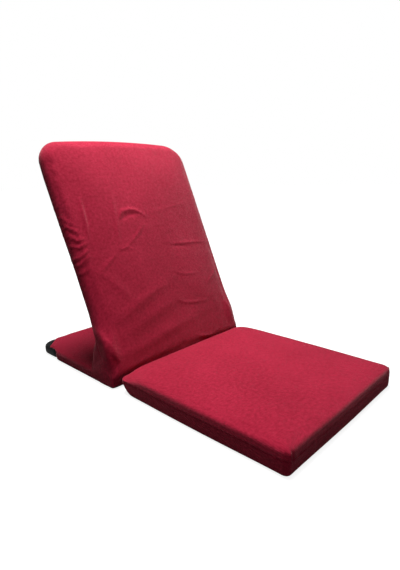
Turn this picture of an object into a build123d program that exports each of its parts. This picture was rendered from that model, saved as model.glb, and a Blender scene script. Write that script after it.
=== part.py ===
"""Folding floor chair: a tube floor frame with a tail behind, a padded backrest that folds
forward over a thick seat cushion, and removable cotton covers.

Millimetres. +Z up, the seat faces -Y, the tail lies towards +Y. The origin is on the floor,
in the middle of the chair's length and width.
"""

from build123d import *
import math
import os

# ---- driving dimensions -------------------------------------------------------------------
# Seat cushion
seat_width = 458.0
seat_depth = 472.0
seat_edge_height = 50.0      # where the rounded rim meets the crowned top
seat_crown = 8.0             # rise of the top panel above the rim
seat_seam_height = 31.0      # top and lower panels are sewn together here
seat_corner_radius = 18.0
seat_draw_in = 2.5           # how far each side pulls in between its corners
seat_rear_nose = 17.0        # how far the rear wall slopes in above and below the seam
# Tail panel
tail_ease = 3.7              # room between the corner cap and the cover's side
tail_height = 28.0
tail_reach = 326.0           # hinge axis to the tail's rear edge
tail_front_reach = 54.0      # hinge axis to the tail cover's front edge
tail_corner_cut = 50.0       # the cover's open corner, where the frame cap shows
tail_edge_round = 9.0
tail_front_round = 17.0      # the cover turns up towards the backrest here
# Backrest, measured along its own slope from the hinge axis
back_recline = 24.0          # degrees behind upright, on the stop
back_length = 553.0
back_tail_below = 26.0       # the padded panel reaches this far below the axis
back_ease = 1.9              # room between the looped straps and the cover, at the hinges
back_flare = 1.5             # the panel grows this much wider, each side, towards its top
back_corner_radius = 62.0
back_top_arch = 7.0
back_front = 23.0            # front face of the rim, ahead of the frame's centre plane
back_rear = 14.5             # rear face, behind the frame's centre plane
back_crown = 7.0             # the front panel's middle stands this far ahead of the rim
back_hinge_notch = 34.0      # the panel's lower corners stay clear of the hinges up to here
back_seam_behind = 3.0       # side seam of the cover, behind the frame's centre plane
# Frame
frame_half_span = 224.0      # centre line of every side tube
tube_radius = 9.5
tube_wall = 1.5
tube_height = 12.8           # floor frame's centre line above the floor
tail_bend_radius = 30.0
back_bend_radius = 60.0
back_frame_margin = 18.5     # top tube's centre line below the panel's top
rail_front_reach = 40.0      # hinge axis to the front ends of the tail tube
cross_reach = 26.0           # hinge axis to the cross tube
seat_tube_radius = 8.0
seat_tube_wall = 1.2
seat_tube_inset = 34.0       # its legs' centre lines, inside the rails'
seat_tube_front_margin = 42.0
seat_tube_bend_radius = 45.0
back_rung_radius = 6.5
back_rung_heights = (70.0, 325.0)
# Hinge
hinge_height = 85.0          # axis above the floor
hinge_gap = 59.0             # seat cushion's rear edge to the hinge axis
fold_angle = 110.0           # travel from the stop to folded over the seat
ear_thickness = 3.0
ear_head_radius = 24.0
ear_foot_front = 14.0        # the bracket's foot reaches this far ahead of the axis
ear_foot_rear = 46.0         # and this far behind it
saddle_thickness = 2.0
flat_thickness = 7.0         # pressed-flat end of the backrest tube
flat_half_width = 12.0
flat_length = 36.0
flat_taper = 26.0
pivot_radius = 4.0
pivot_head_radius = 7.0
pivot_head_height = 3.6
pivot_nut_across = 13.0
pivot_nut_height = 6.5
washer_radius = 9.0
washer_thickness = 1.2
stop_radius = 2.5
stop_offset = 17.0           # stop pin's distance from the axis
rivet_radius = 2.5
rivet_head_radius = 4.5
rivet_head_height = 1.6
# Caps, plugs, straps and cloth
cap_wall = 1.8
cap_web_reach = 46.0
cap_web_thickness = 16.0
cap_straight = 8.0           # how far the cap runs on past the bend
plug_depth = 18.0
plug_flange = 2.0
plug_rib_width = 2.0
strap_thickness = 1.4
back_strap_width = 50.0
back_strap_count = 5
back_strap_first = 120.0
back_strap_pitch = 82.0
tail_strap_width = 45.0
tail_strap_count = 3
tail_strap_first = 100.0
tail_strap_rear_gap = 17.5   # last strap to the corner caps
cloth = 1.2
pad_thickness_tail = 2.6
tail_pad_front = 66.0        # hinge axis to the tail pad's front edge
clearance = 0.3
running_clearance = 0.08
slot_clearance = 0.2
boot_foot_front = 44.0
boot_foot_rear = 58.0
gusset_foot_rear = 60.0
gusset_foot_front = 46.0

# A crown's outlines: how far each has shrunk, and its share of the rise
crown_shape = ((0.82, 0.5), (0.55, 0.85), (0.25, 1.0))
# How finely the soft outlines and the tubes are drawn
section_sides = 16
bend_steps = 6
corner_steps = 4
side_steps = 4

# ---- places worked out from them ----------------------------------------------------------
overall_length = seat_depth + hinge_gap + tail_reach
seat_front_y = -overall_length / 2
seat_rear_y = seat_front_y + seat_depth
axis_y = seat_rear_y + hinge_gap
tail_rear_y = axis_y + tail_reach
tail_front_y = axis_y - tail_front_reach
rail_front_y = axis_y - rail_front_reach
cross_y = axis_y - cross_reach
seat_tube_half_span = frame_half_span - seat_tube_inset
tail_side_margin = tube_radius + cap_wall + tail_ease
tail_width = 2 * (frame_half_span + tail_side_margin)
back_width_low = 2 * (frame_half_span + tube_radius + strap_thickness + cloth + back_ease)
back_width_top = back_width_low + 2 * back_flare
tail_tube_rear_y = tail_rear_y - tail_side_margin
seat_tube_front_y = seat_front_y + seat_tube_front_margin
cap_radius = tube_radius + cap_wall
cap_front_y = tail_tube_rear_y - tail_bend_radius - cap_straight
tail_strap_last = cap_front_y - tail_strap_rear_gap - tail_strap_width / 2 - axis_y
tail_strap_pitch = (tail_strap_last - tail_strap_first) / (tail_strap_count - 1)
ear_inner = flat_thickness / 2 + washer_thickness + running_clearance * 2
ear_outer = ear_inner + ear_thickness
notch_inner = frame_half_span - ear_outer - pivot_nut_height - 4.0
pivot = Vector(0, axis_y, hinge_height)


# ---- small helpers ------------------------------------------------------------------------
def round_section(radius):
    """A tube's section, many-sided so that the long bends stay light."""
    return RegularPolygon(radius, section_sides, rotation=180 / section_sides)


def straight_rod(start, end, radius):
    """A straight bar between two points."""
    along = Vector(*end) - Vector(*start)
    upright = abs(along.X) + abs(along.Y) < 1e-6
    plane = Plane(origin=start, x_dir=(1, 0, 0) if upright else (0, 0, 1), z_dir=along)
    return extrude(plane * round_section(radius), along.length)


def u_rod(half_span, end_y, bend_y, bend_radius, radius):
    """A U-bent bar lying flat round Z = 0: two legs along Y, two bends, one run across."""
    way = 1 if bend_y > end_y else -1
    inner = half_span - bend_radius
    turn_y = bend_y - way * bend_radius
    step = math.pi / 2 / bend_steps
    around = [2 * math.pi * (n + 0.5) / section_sides for n in range(section_sides)]

    def leg_end(side):
        return [
            Vector(side * (half_span + radius * math.cos(a)), end_y, radius * math.sin(a))
            for a in around
        ]

    def mitre(side, turned):
        ring = []
        for a in around:
            reach = (bend_radius + radius * math.cos(a)) / math.cos(step / 2)
            x = side * (inner + reach * math.cos(turned))
            y = turn_y + way * reach * math.sin(turned)
            ring.append(Vector(x, y, radius * math.sin(a)))
        return ring

    turns = [(n + 0.5) * step for n in range(bend_steps)]
    left = [mitre(-1, turned) for turned in turns]
    right = [mitre(1, turned) for turned in reversed(turns)]
    return stack([leg_end(-1), *left, *right, leg_end(1)])


def u_tube(half_span, end_y, bend_y, bend_radius, radius, wall):
    """A U-bent tube lying flat round Z = 0."""
    body = u_rod(half_span, end_y, bend_y, bend_radius, radius)
    return body - u_rod(half_span, end_y, bend_y, bend_radius, radius - wall)


def lean(shape):
    """Moves a backrest piece from its own upright frame, axis at the origin, to its place."""
    return Pos(*pivot) * Rot(X=-back_recline) * shape


def both_sides(make):
    """The left and the right copy of a piece that is built on the right, at +X."""
    right = make()
    return mirror(right, about=Plane.YZ), right


def drawn_side(start, end, draw_in, steps):
    """Points between two ends of a cushion's side, pulled in towards the cushion's middle."""
    points = []
    across = Vector(*end) - Vector(*start)
    inward = Vector(-across.Y, across.X).normalized()
    for step in range(1, steps):
        share = step / steps
        depth = draw_in * 4 * share * (1 - share)
        points.append(Vector(*start) + across * share + inward * depth)
    return points


def corner_points(centre, radius, start_angle, steps):
    """Points round a corner of 90 degrees, from a start angle in degrees."""
    points = []
    for step in range(steps + 1):
        angle = math.radians(start_angle + 90 * step / steps)
        points.append(Vector(*centre) + Vector(math.cos(angle), math.sin(angle)) * radius)
    return points


def cushion_ring(half_x, low_y, high_y, radius, draw_in):
    """A cushion's outline as points, anticlockwise: rounded corners, drawn-in sides."""
    corners = [
        corner_points((-half_x + radius, low_y + radius), radius, 180, corner_steps),
        corner_points((half_x - radius, low_y + radius), radius, 270, corner_steps),
        corner_points((half_x - radius, high_y - radius), radius, 0, corner_steps),
        corner_points((-half_x + radius, high_y - radius), radius, 90, corner_steps),
    ]
    points = []
    for index, corner in enumerate(corners):
        following = corners[(index + 1) % 4]
        points += corner
        points += drawn_side(corner[-1], following[0], draw_in, side_steps)
    return points


def flat_faces(corners):
    """One flat face through four corners, or two triangles where they don't lie in a plane."""
    first, second, third, fourth = corners
    normal = (second - first).cross(third - first).normalized()
    if abs((fourth - first).dot(normal)) < 1e-7:
        return [Face(Wire.make_polygon(corners, close=True))]
    return [
        Face(Wire.make_polygon([first, second, third], close=True)),
        Face(Wire.make_polygon([first, third, fourth], close=True)),
    ]


def stack(layers):
    """A closed solid with flat faces through matching rings of points, first to last."""
    faces = [Face(Wire.make_polygon(layers[0], close=True))]
    faces.append(Face(Wire.make_polygon(layers[-1], close=True)))
    for lower, upper in zip(layers, layers[1:]):
        for index in range(len(lower)):
            after = (index + 1) % len(lower)
            faces += flat_faces([lower[index], lower[after], upper[after], upper[index]])
    return Solid(Shell(faces))


def shrunk(points, share, rise):
    """A copy of an outline shrunk towards its own middle and raised by rise along Z."""
    low = Vector(*[min(getattr(p, axis) for p in points) for axis in "XYZ"])
    high = Vector(*[max(getattr(p, axis) for p in points) for axis in "XYZ"])
    middle = (low + high) / 2
    return [middle + (point - middle) * share + Vector(0, 0, rise) for point in points]


def seat_levels(inset):
    """The seat's side section: height, inset of front and sides, inset of the rear."""
    rim = seat_edge_height
    seam = seat_seam_height
    nose = seat_rear_nose
    lower = [
        (inset, 2.6, nose * 1.25),
        (seam * 0.12, 0.6, nose * 0.85),
        (seam * 0.5, 0.0, nose * 0.3),
        (seam, 0.0, 0.0),
    ]
    upper = [
        (seam, 0.0, 0.0),
        (rim * 0.84 - inset * 0.5, 1.0, nose * 0.5),
        (rim * 0.95 - inset * 0.8, 5.0, nose * 1.1),
        (rim - inset, 12.0, nose * 1.9),
    ]
    return lower, upper


def seat_rings(levels, inset):
    """The seat's outlines at those levels, every surface taken in by inset."""
    layers = []
    for height, side, rear in levels:
        radius = seat_corner_radius - inset - side
        outline = cushion_ring(
            seat_width / 2 - inset - side,
            seat_front_y + inset + side,
            seat_rear_y - inset - rear,
            radius,
            seat_draw_in,
        )
        layers.append([point + Vector(0, 0, height) for point in outline])
    return layers


def crown(rim):
    """The shrinking outlines that carry a rim up to a crowned middle: share and rise."""
    return [shrunk(rim, share, seat_crown * rise) for share, rise in crown_shape]


def seat_form(inset):
    """The seat's whole crowned block, every surface taken in by inset."""
    lower, upper = seat_levels(inset)
    layers = seat_rings(lower + upper[1:], inset)
    return stack(layers + crown(layers[-1]))


def seat_leg_holes(radius):
    """Two round bars where the seat tube's legs cross the covers."""
    bars = []
    for side in (-1, 1):
        bar = Cylinder(radius, hinge_gap + 4 * seat_rear_nose)
        place = Pos(side * seat_tube_half_span, seat_rear_y + 10, tube_height)
        bars.append(place * Rot(X=90) * bar)
    return bars


def slab(low_z, high_z):
    """A flat slice of space, wider than the chair, between two heights."""
    span = 2 * overall_length
    return Pos(0, 0, (low_z + high_z) / 2) * Box(span, span, high_z - low_z)


def seat_covers():
    """The seat cover's crowned top panel and its lower panel, sewn at the side seam."""
    lower_levels, upper_levels = seat_levels(0.0)
    lower_inner, upper_inner = seat_levels(cloth)
    outside = seat_rings(upper_levels, 0.0)
    inside = seat_rings(upper_inner, cloth)
    upper = stack(outside + crown(outside[-1])) - stack(inside + crown(inside[-1]))
    lower = stack(seat_rings(lower_levels, 0.0)) - stack(seat_rings(lower_inner, cloth))
    for bar in seat_leg_holes(seat_tube_radius + 1.0):
        lower -= bar
    return upper, lower


def seat_foam():
    """The foam block, with a channel in its underside for the seat tube."""
    block = seat_form(cloth + clearance)
    half_channel = seat_tube_radius + clearance
    reach = seat_tube_half_span + half_channel
    inside = seat_tube_half_span - half_channel
    front_y = seat_tube_front_y - half_channel
    turn = seat_tube_bend_radius
    outside = ((0, 0.732), (0.268, 0.268), (0.732, 0))
    inside_turn = ((0, 1), (0.134, 0.5), (0.5, 0.134), (1, 0))
    outer = channel_outline(reach, front_y, turn + half_channel, outside)
    inner = channel_outline(
        inside, front_y + 2 * half_channel, turn - half_channel, inside_turn
    )
    top = tube_height + half_channel
    return block - (extrude(outer, top) - extrude(inner, top))


def channel_outline(half, front_y, corner, turn):
    """A plan face open past the seat's rear edge, its front corners turned in short runs."""
    rear_y = seat_rear_y + 20
    left = [(-half, rear_y)]
    left += [(-half + across * corner, front_y + along * corner) for across, along in turn]
    right = [(-x, y) for x, y in reversed(left)]
    return Face(Wire.make_polygon([Vector(x, y) for x, y in left + right], close=True))


# ---- floor frame --------------------------------------------------------------------------
def tail_rod(radius):
    """The rear U tube's whole room, at that radius."""
    body = u_rod(frame_half_span, rail_front_y, tail_tube_rear_y, tail_bend_radius, radius)
    return Pos(0, 0, tube_height) * body


def cross_rod(radius):
    """The cross tube's whole room, at that radius."""
    height = tube_height
    start, end = (-frame_half_span, cross_y, height), (frame_half_span, cross_y, height)
    return straight_rod(start, end, radius)


def rivet_places():
    """The two rivets through each hinge bracket's saddle, measured behind the axis."""
    return (-ear_foot_front + 8.0, ear_foot_rear - 8.0)


def rivet_hole():
    """The room of a line of rivets across the chair."""
    section = RegularPolygon(rivet_radius, 12)
    return Rot(Y=90) * extrude(section, 2 * frame_half_span, both=True)


def tail_tube():
    """The rear U tube, drilled for the bracket rivets."""
    body = tail_rod(tube_radius) - tail_rod(tube_radius - tube_wall)
    for behind in rivet_places():
        body -= Pos(0, axis_y + behind, tube_height) * rivet_hole()
    return body


def cross_tube():
    """The tube across the hinges, coped to the side rails."""
    return cross_rod(tube_radius) - cross_rod(tube_radius - tube_wall) - tail_rod(tube_radius)


def seat_tube():
    """The front U tube under the seat, coped to the cross tube."""
    body = u_tube(
        seat_tube_half_span,
        cross_y,
        seat_tube_front_y,
        seat_tube_bend_radius,
        seat_tube_radius,
        seat_tube_wall,
    )
    return Pos(0, 0, tube_height) * body - cross_rod(tube_radius)


def rail_end_plugs():
    """Plastic plugs with a rib round them, in the tail tube's two front ends."""
    plugs = []
    bore = tube_radius - tube_wall
    for side in (-1, 1):
        plug = extrude(round_section(bore - 0.8), plug_depth)
        plug += extrude(round_section(tube_radius), -plug_flange)
        rib = extrude(round_section(bore - 0.05), plug_rib_width)
        plug += Pos(0, 0, plug_depth / 2) * rib
        plugs.append(
            Pos(side * frame_half_span, rail_front_y, tube_height) * Rot(X=-90) * plug
        )
    return plugs


def corner_cap():
    """The right rear corner's moulded cap: a sleeve over the tube's bend and a web inside it."""
    bend_y = tail_tube_rear_y
    reach = tail_bend_radius + cap_straight
    web = Polyline(
        (frame_half_span, bend_y),
        (frame_half_span, bend_y - cap_web_reach),
        (frame_half_span - cap_web_reach, bend_y),
        close=True,
    )
    web = extrude(Face(web.wire()), cap_web_thickness / 2, both=True)
    keep = Pos(frame_half_span - reach / 2 + 20, bend_y - reach / 2 + 20, 0) * Box(
        reach + 40, reach + 40, 4 * cap_radius
    )
    sleeve = Pos(0, 0, -tube_height) * tail_rod(cap_radius) & keep
    body = Pos(0, 0, tube_height) * (sleeve + web)
    return body - tail_rod(tube_radius + 0.05)


# ---- hinge --------------------------------------------------------------------------------
def side_plate(outline, thickness):
    """Stands a flat outline, drawn as Y across and Z up, in a side plane; centred on X = 0."""
    return extrude(Plane.YZ * outline, thickness / 2, both=True)


def hinge_ear():
    """One ear of the bracket, round the axis at the origin, its foot on the rail."""
    foot = tube_height + tube_radius * 0.6 - hinge_height
    length = ear_foot_front + ear_foot_rear
    middle = (ear_foot_rear - ear_foot_front) / 2
    head = RegularPolygon(ear_head_radius, 2 * section_sides)
    base = Pos(middle, foot + 5) * Rectangle(length, 10)
    face = make_hull([*head.edges(), *base.edges()])
    # The stop pin runs in this arc, from the rest stop to the folded stop.
    slot = Face(stop_slot(stop_radius + slot_clearance))
    ear = side_plate(face, ear_thickness) - side_plate(slot, 2 * ear_thickness)
    bore = Rot(Y=90) * Cylinder(pivot_radius + running_clearance, 4 * ear_thickness)
    return ear - bore


def stop_slot(half):
    """The stop pin's arc slot round the axis: its closed outline, half wide each way."""
    radius = stop_offset
    first = math.radians(90 - back_recline)
    slack = slot_clearance / radius
    first -= slack
    last = first + math.radians(fold_angle) + 2 * slack
    middle = (first + last) / 2

    def at(r, angle):
        return (r * math.cos(angle), r * math.sin(angle))

    def tip(angle, turn):
        x, y = at(radius, angle)
        return (x + half * math.cos(angle + turn), y + half * math.sin(angle + turn))

    edges = [
        ThreePointArc(at(radius + half, first), at(radius + half, middle), at(radius + half, last)),
        ThreePointArc(at(radius + half, last), tip(last, math.pi / 2), at(radius - half, last)),
        ThreePointArc(at(radius - half, last), at(radius - half, middle), at(radius - half, first)),
        ThreePointArc(at(radius - half, first), tip(first, -math.pi / 2), at(radius + half, first)),
    ]
    return Wire([e.edge() for e in edges])


def hinge_bracket():
    """The right hinge's clevis: two slotted ears on a saddle that straddles the rail."""
    place = Pos(frame_half_span, axis_y, hinge_height)
    offset = (ear_inner + ear_outer) / 2
    ears = hinge_ear()
    pair = [Pos(offset, 0, 0) * ears, Pos(-offset, 0, 0) * ears]
    length = ear_foot_front + ear_foot_rear
    middle = (ear_foot_rear - ear_foot_front) / 2
    drop = tube_height - hinge_height
    front, rear = (0, -ear_foot_front, drop), (0, ear_foot_rear, drop)
    bracket = straight_rod(front, rear, tube_radius + saddle_thickness) + pair[0] + pair[1]
    front, rear = (0, -2 * length, drop), (0, 2 * length, drop)
    bracket -= straight_rod(front, rear, tube_radius + 0.02)
    open_side = Pos(0, middle, drop - tube_radius - 3.5) * Box(
        6 * tube_radius, 2 * length, 2 * tube_radius
    )
    bracket -= open_side
    for behind in rivet_places():
        bracket -= Pos(0, behind, drop) * rivet_hole()
    return place * bracket


def low_head(radius, low, high):
    """A rivet's or bolt's head with sloping sides, from one height to another."""
    return stack([flattened(radius, radius, low), flattened(radius * 0.6, radius * 0.6, high)])


def bracket_rivets():
    """Flat-topped rivets through both brackets' saddles and the rails."""
    rivets = []
    reach = tube_radius + saddle_thickness + 0.03
    for side in (-1, 1):
        for behind in rivet_places():
            body = extrude(RegularPolygon(rivet_radius - 0.02, 12), reach, both=True)
            for end in (-1, 1):
                top = reach + rivet_head_height
                head = low_head(rivet_head_radius, reach, top)
                body += head if end > 0 else mirror(head, about=Plane.XY)
            place = Pos(side * frame_half_span, axis_y + behind, tube_height)
            rivets.append(place * Rot(Y=90) * body)
    return rivets


def pivot_bolt():
    """The right hinge's dome-head bolt, head outside."""
    grip_end = ear_outer + pivot_nut_height + 2.5
    shank = Pos(0, 0, (ear_outer - grip_end) / 2) * Cylinder(pivot_radius, ear_outer + grip_end)
    head = low_head(pivot_head_radius, ear_outer, ear_outer + pivot_head_height)
    socket = Pos(0, 0, ear_outer + pivot_head_height) * extrude(
        RegularPolygon(2.3, 6), 1.7, both=True
    )
    bolt = shank + head - socket
    return Pos(frame_half_span, axis_y, hinge_height) * Rot(Y=90) * bolt


def pivot_nut():
    """The right hinge's lock nut, inside: a hexagon with its collar."""
    across_corners = pivot_nut_across / 2 / math.cos(math.radians(30))
    hexagon = extrude(RegularPolygon(across_corners, 6), pivot_nut_height * 0.72)
    collar = extrude(round_section(pivot_nut_across / 2 - 0.8), pivot_nut_height)
    nut = hexagon + collar
    nut -= Cylinder(pivot_radius + 0.02, 4 * pivot_nut_height)
    place = Pos(frame_half_span - ear_outer, axis_y, hinge_height)
    return place * Rot(Y=-90) * nut


def pivot_washers():
    """Four nylon washers, one each side of each flattened tube end."""
    washers = []
    for side in (-1, 1):
        for face in (-1, 1):
            disc = extrude(round_section(washer_radius), washer_thickness / 2, both=True)
            disc -= Cylinder(pivot_radius + running_clearance, 4 * washer_thickness)
            offset = face * (ear_inner - washer_thickness / 2 - running_clearance / 2)
            place = Pos(side * frame_half_span + offset, axis_y, hinge_height)
            washers.append(place * Rot(Y=90) * disc)
    return washers


def stop_pins():
    """The two cross pins that run in the brackets' arc slots."""
    pins = []
    for side in (-1, 1):
        pin = Rot(Y=90) * Cylinder(stop_radius, 2 * ear_outer + 1.0)
        pins.append(lean(Pos(side * frame_half_span, 0, stop_offset) * pin))
    return pins


# ---- backrest -----------------------------------------------------------------------------
back_frame_top = back_length - back_frame_margin


def back_tube():
    """The backrest's U tube, its two ends pressed flat and drilled for the hinges."""
    neck = flat_length + flat_taper
    pieces = Rot(X=90) * u_tube(
        frame_half_span, neck, back_frame_top, back_bend_radius, tube_radius, tube_wall
    )
    for rung in back_rung_heights:
        pieces -= rung_rod(rung, back_rung_radius)
    for side in (-1, 1):
        place = Pos(side * frame_half_span, 0, 0)
        flat_section = Rectangle(flat_thickness, 2 * flat_half_width)
        taper = stack(
            [
                flattened(flat_thickness / 2, flat_half_width, flat_length),
                flattened(tube_radius, tube_radius, neck),
            ]
        )
        blade = extrude(flat_section, flat_length)
        blade += Rot(Y=90) * Cylinder(flat_half_width, flat_thickness)
        blade -= Rot(Y=90) * Cylinder(pivot_radius + running_clearance, 3 * flat_thickness)
        hole = Rot(Y=90) * Cylinder(stop_radius + 0.02, 3 * flat_thickness)
        blade -= Pos(0, 0, stop_offset) * hole
        pieces += place * (taper + blade)
    return lean(pieces)


def flattened(half_x, half_y, height):
    """The tube's many-sided section pressed to those half widths, as points at a height."""
    points = []
    for step in range(section_sides):
        angle = 2 * math.pi * (step + 0.5) / section_sides
        points.append(Vector(half_x * math.cos(angle), half_y * math.sin(angle), height))
    return points


def rung_rod(height, radius):
    """A straight bar between the backrest's side tubes at that height."""
    return straight_rod((-frame_half_span, 0, height), (frame_half_span, 0, height), radius)


def back_rungs():
    """The backrest's two cross tubes, let into the side tubes' inner walls."""
    rungs = []
    side_tubes = []
    for side in (-1, 1):
        x = side * frame_half_span
        side_tubes.append(straight_rod((x, 0, 0), (x, 0, back_length), tube_radius))
    for height in back_rung_heights:
        bar = rung_rod(height, back_rung_radius)
        bar -= rung_rod(height, back_rung_radius - seat_tube_wall)
        for side_tube in side_tubes:
            bar -= side_tube
        rungs.append(lean(bar))
    return rungs


def back_ring(inset, ahead):
    """The backrest's outline as points: straight tapered sides, arched top, round corners."""
    top = back_length - inset
    foot = -back_tail_below + inset
    half_low = back_width_low / 2 - inset
    half_top = back_width_top / 2 - inset
    radius = back_corner_radius - inset
    shoulder = half_top - radius
    shoulder_z = top - back_top_arch
    corner_z = shoulder_z - radius * 0.9
    right = [Vector(half_low, -ahead, foot)]
    for step in range(corner_steps + 1):
        angle = math.radians(90 * step / corner_steps)
        x = shoulder + radius * math.cos(angle)
        z = corner_z + (shoulder_z - corner_z) * math.sin(angle)
        right.append(Vector(x, -ahead, z))
    for step in range(1, side_steps // 2 + 1):
        share = 1 - step / (side_steps // 2)
        rise = back_top_arch * (1 - share * share)
        right.append(Vector(shoulder * share, -ahead, shoulder_z + rise))
    left = [Vector(-point.X, point.Y, point.Z) for point in reversed(right[:-1])]
    return right + left


def back_levels(inset):
    """The backrest's section: distance ahead of the frame's centre plane, inset of the outline."""
    front, rear = back_front, back_rear
    behind = [
        (-rear + inset, 7.0),
        (-rear * 0.75 + inset * 0.4, 2.0),
        (-back_seam_behind, 0.0),
    ]
    ahead = [
        (-back_seam_behind, 0.0),
        (front * 0.45, 0.8),
        (front * 0.82 - inset * 0.5, 4.5),
        (front - inset, 12.0),
    ]
    return behind, ahead


def back_skin(levels, inset):
    """A closed solid through the backrest's outlines at those levels, crowned if in front."""
    layers = [back_ring(inset + taken, ahead) for ahead, taken in levels]
    if levels[-1][0] > 0:
        rim = layers[-1]
        for share, rise in crown_shape:
            layer = shrunk(rim, share, 0)
            layers.append([point - Vector(0, back_crown * rise, 0) for point in layer])
    return stack(layers)


def hinge_notches(margin):
    """The blocks taken out of the backrest's lower corners, clear of the hinges."""
    blocks = []
    depth = 4 * (back_front + back_rear)
    for side in (-1, 1):
        width = back_width_top / 2 - notch_inner + margin
        centre = side * (notch_inner - margin + width)
        height = back_hinge_notch + margin + back_tail_below + 20
        middle = back_hinge_notch + margin - height / 2
        blocks.append(Pos(centre, 0, middle) * Box(2 * width, depth, height))
    return blocks


def back_covers():
    """The backrest cover's front panel, with its sides, and its flat rear panel."""
    behind, ahead = back_levels(0.0)
    behind_inner, ahead_inner = back_levels(cloth)
    front = back_skin(ahead, 0.0) - back_skin(ahead_inner, cloth)
    rear = back_skin(behind, 0.0) - back_skin(behind_inner, cloth)
    for block in hinge_notches(0.0):
        front -= block
        rear -= block
    return lean(front), lean(rear)


def back_pad():
    """The backrest's foam: a front sheet whose rim wraps the tube frame."""
    inset = cloth + clearance
    behind, ahead = back_levels(inset)
    foam = back_skin(behind + ahead[1:], inset)
    for block in hinge_notches(cloth + clearance):
        foam -= block
    deep = 60.0
    recess_half = frame_half_span + tube_radius + strap_thickness + 2 * clearance
    recess_front = -(flat_half_width + clearance)
    recess_top = back_frame_top + tube_radius + clearance
    height = recess_top + back_tail_below + 20
    recess = Pos(0, recess_front + deep / 2, recess_top - height / 2) * Box(
        2 * recess_half, deep, height
    )
    corners = recess.edges().filter_by(Axis.Y).group_by(Axis.Z)[-1]
    recess = chamfer(corners, back_bend_radius * 0.4)
    return lean((foam - recess).solids().sort_by(SortBy.VOLUME)[-1])


# ---- webbing ------------------------------------------------------------------------------
def strap(width):
    """A webbing strap looped round both side tubes: flat ahead (-Y), its height along Z."""
    inner = tube_radius + 0.15
    outer = inner + strap_thickness
    loops = round_section(outer) - round_section(inner)
    open_corner = Pos(-frame_half_span / 2, frame_half_span / 2) * Rectangle(
        frame_half_span, frame_half_span
    )
    loop = loops - open_corner
    flat = Pos(0, -(inner + outer) / 2) * Rectangle(2 * frame_half_span, strap_thickness)
    face = flat + Pos(frame_half_span, 0) * loop + Pos(-frame_half_span, 0) * mirror(
        loop, about=Plane.YZ
    )
    return extrude(face, width / 2, both=True)


def back_webbing():
    """The backrest's straps, looped over the side tubes in front of the frame."""
    one = strap(back_strap_width)
    heights = [back_strap_first + back_strap_pitch * n for n in range(back_strap_count)]
    return [lean(Pos(0, 0, height) * one) for height in heights]


def tail_webbing():
    """The tail's straps, looped over the rails with their flats on top."""
    one = Rot(X=-90) * strap(tail_strap_width)
    places = [axis_y + tail_strap_first + tail_strap_pitch * n for n in range(tail_strap_count)]
    return [Pos(0, place, tube_height) * one for place in places]


# ---- tail covers --------------------------------------------------------------------------
def tail_outline(inset, more_cut=0.0):
    """The tail's plan, with both rear corners cut away for the frame's caps."""
    half = tail_width / 2 - inset
    front, rear = tail_front_y + inset, tail_rear_y - inset
    cut = tail_corner_cut - inset * (2 - math.sqrt(2)) + more_cut
    return Polyline(
        (-half, front),
        (half, front),
        (half, rear - cut),
        (half - cut, rear),
        (-half + cut, rear),
        (-half, rear - cut),
        close=True,
    )


def tail_form(inset):
    """The tail's flat padded form, its front edge a full round, inset by inset."""
    face = Face(tail_outline(inset).wire())
    body = Pos(0, 0, inset) * extrude(face, tail_height - 2 * inset)
    body = fillet(body.edges().group_by(Axis.Z)[-1], tail_edge_round - inset)
    lowest = body.edges().group_by(Axis.Z)[0]
    body = fillet(lowest.sort_by(Axis.Y)[0], tail_front_round - inset)
    lowest = body.edges().group_by(Axis.Z)[0]
    sides = [e for e in lowest if e.center().Y > tail_front_y + tail_front_round + 5]
    return fillet(sides, tail_edge_round / 3 - inset * 0.5)


def tail_shell():
    """The hollow tail cover before it is split, open at its two rear corners."""
    shell = tail_form(0.0) - tail_form(cloth)
    for bar in seat_leg_holes(seat_tube_radius + 1.0):
        shell -= bar
    for side in (-1, 1):
        # The cover's corner opening, as deep as the cloth, for the frame's cap.
        opening = Pos(
            side * (tail_width / 2 - tail_corner_cut / 2), tail_rear_y - tail_corner_cut / 2, 0
        )
        width = (tail_corner_cut + tail_edge_round * math.sqrt(2)) * math.sqrt(2) - 4 * cloth
        turned = opening * Rot(Z=side * -45) * Box(width, 2 * tail_edge_round, 3 * tail_height)
        shell -= turned
        slot = Pos(
            side * frame_half_span,
            axis_y + (ear_foot_rear - ear_foot_front) / 2,
            tail_height,
        ) * Box(
            2 * (tube_radius + saddle_thickness + clearance),
            ear_foot_front + ear_foot_rear + 4,
            2 * tail_edge_round,
        )
        shell -= slot
    return shell


def tail_covers():
    """The tail cover's top panel, with its rim, and its flat bottom panel."""
    shell = tail_shell()
    seam = tail_edge_round / 3 + cloth
    return shell & slab(seam, 2 * tail_height), shell & slab(-1.0, seam)


def tail_pad():
    """The thin foam sheet over the tail's straps."""
    face = Face(tail_outline(cloth + tail_edge_round, 30.0).wire())
    top = tail_height - cloth - clearance
    sheet = Pos(0, 0, top - pad_thickness_tail) * extrude(face, pad_thickness_tail)
    keep_front = axis_y + tail_pad_front
    keep = Pos(0, keep_front + tail_reach / 2, 0) * Box(
        2 * tail_width, tail_reach, 4 * tail_height
    )
    return sheet & keep


# ---- cloth round the hinges ---------------------------------------------------------------
def back_point(up, ahead):
    """A point of the backrest, given up its slope and ahead of its centre plane, as (Y, Z)."""
    angle = math.radians(back_recline)
    y = axis_y + up * math.sin(angle) - ahead * math.cos(angle)
    z = hinge_height + up * math.cos(angle) + ahead * math.sin(angle)
    return y, z


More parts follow.
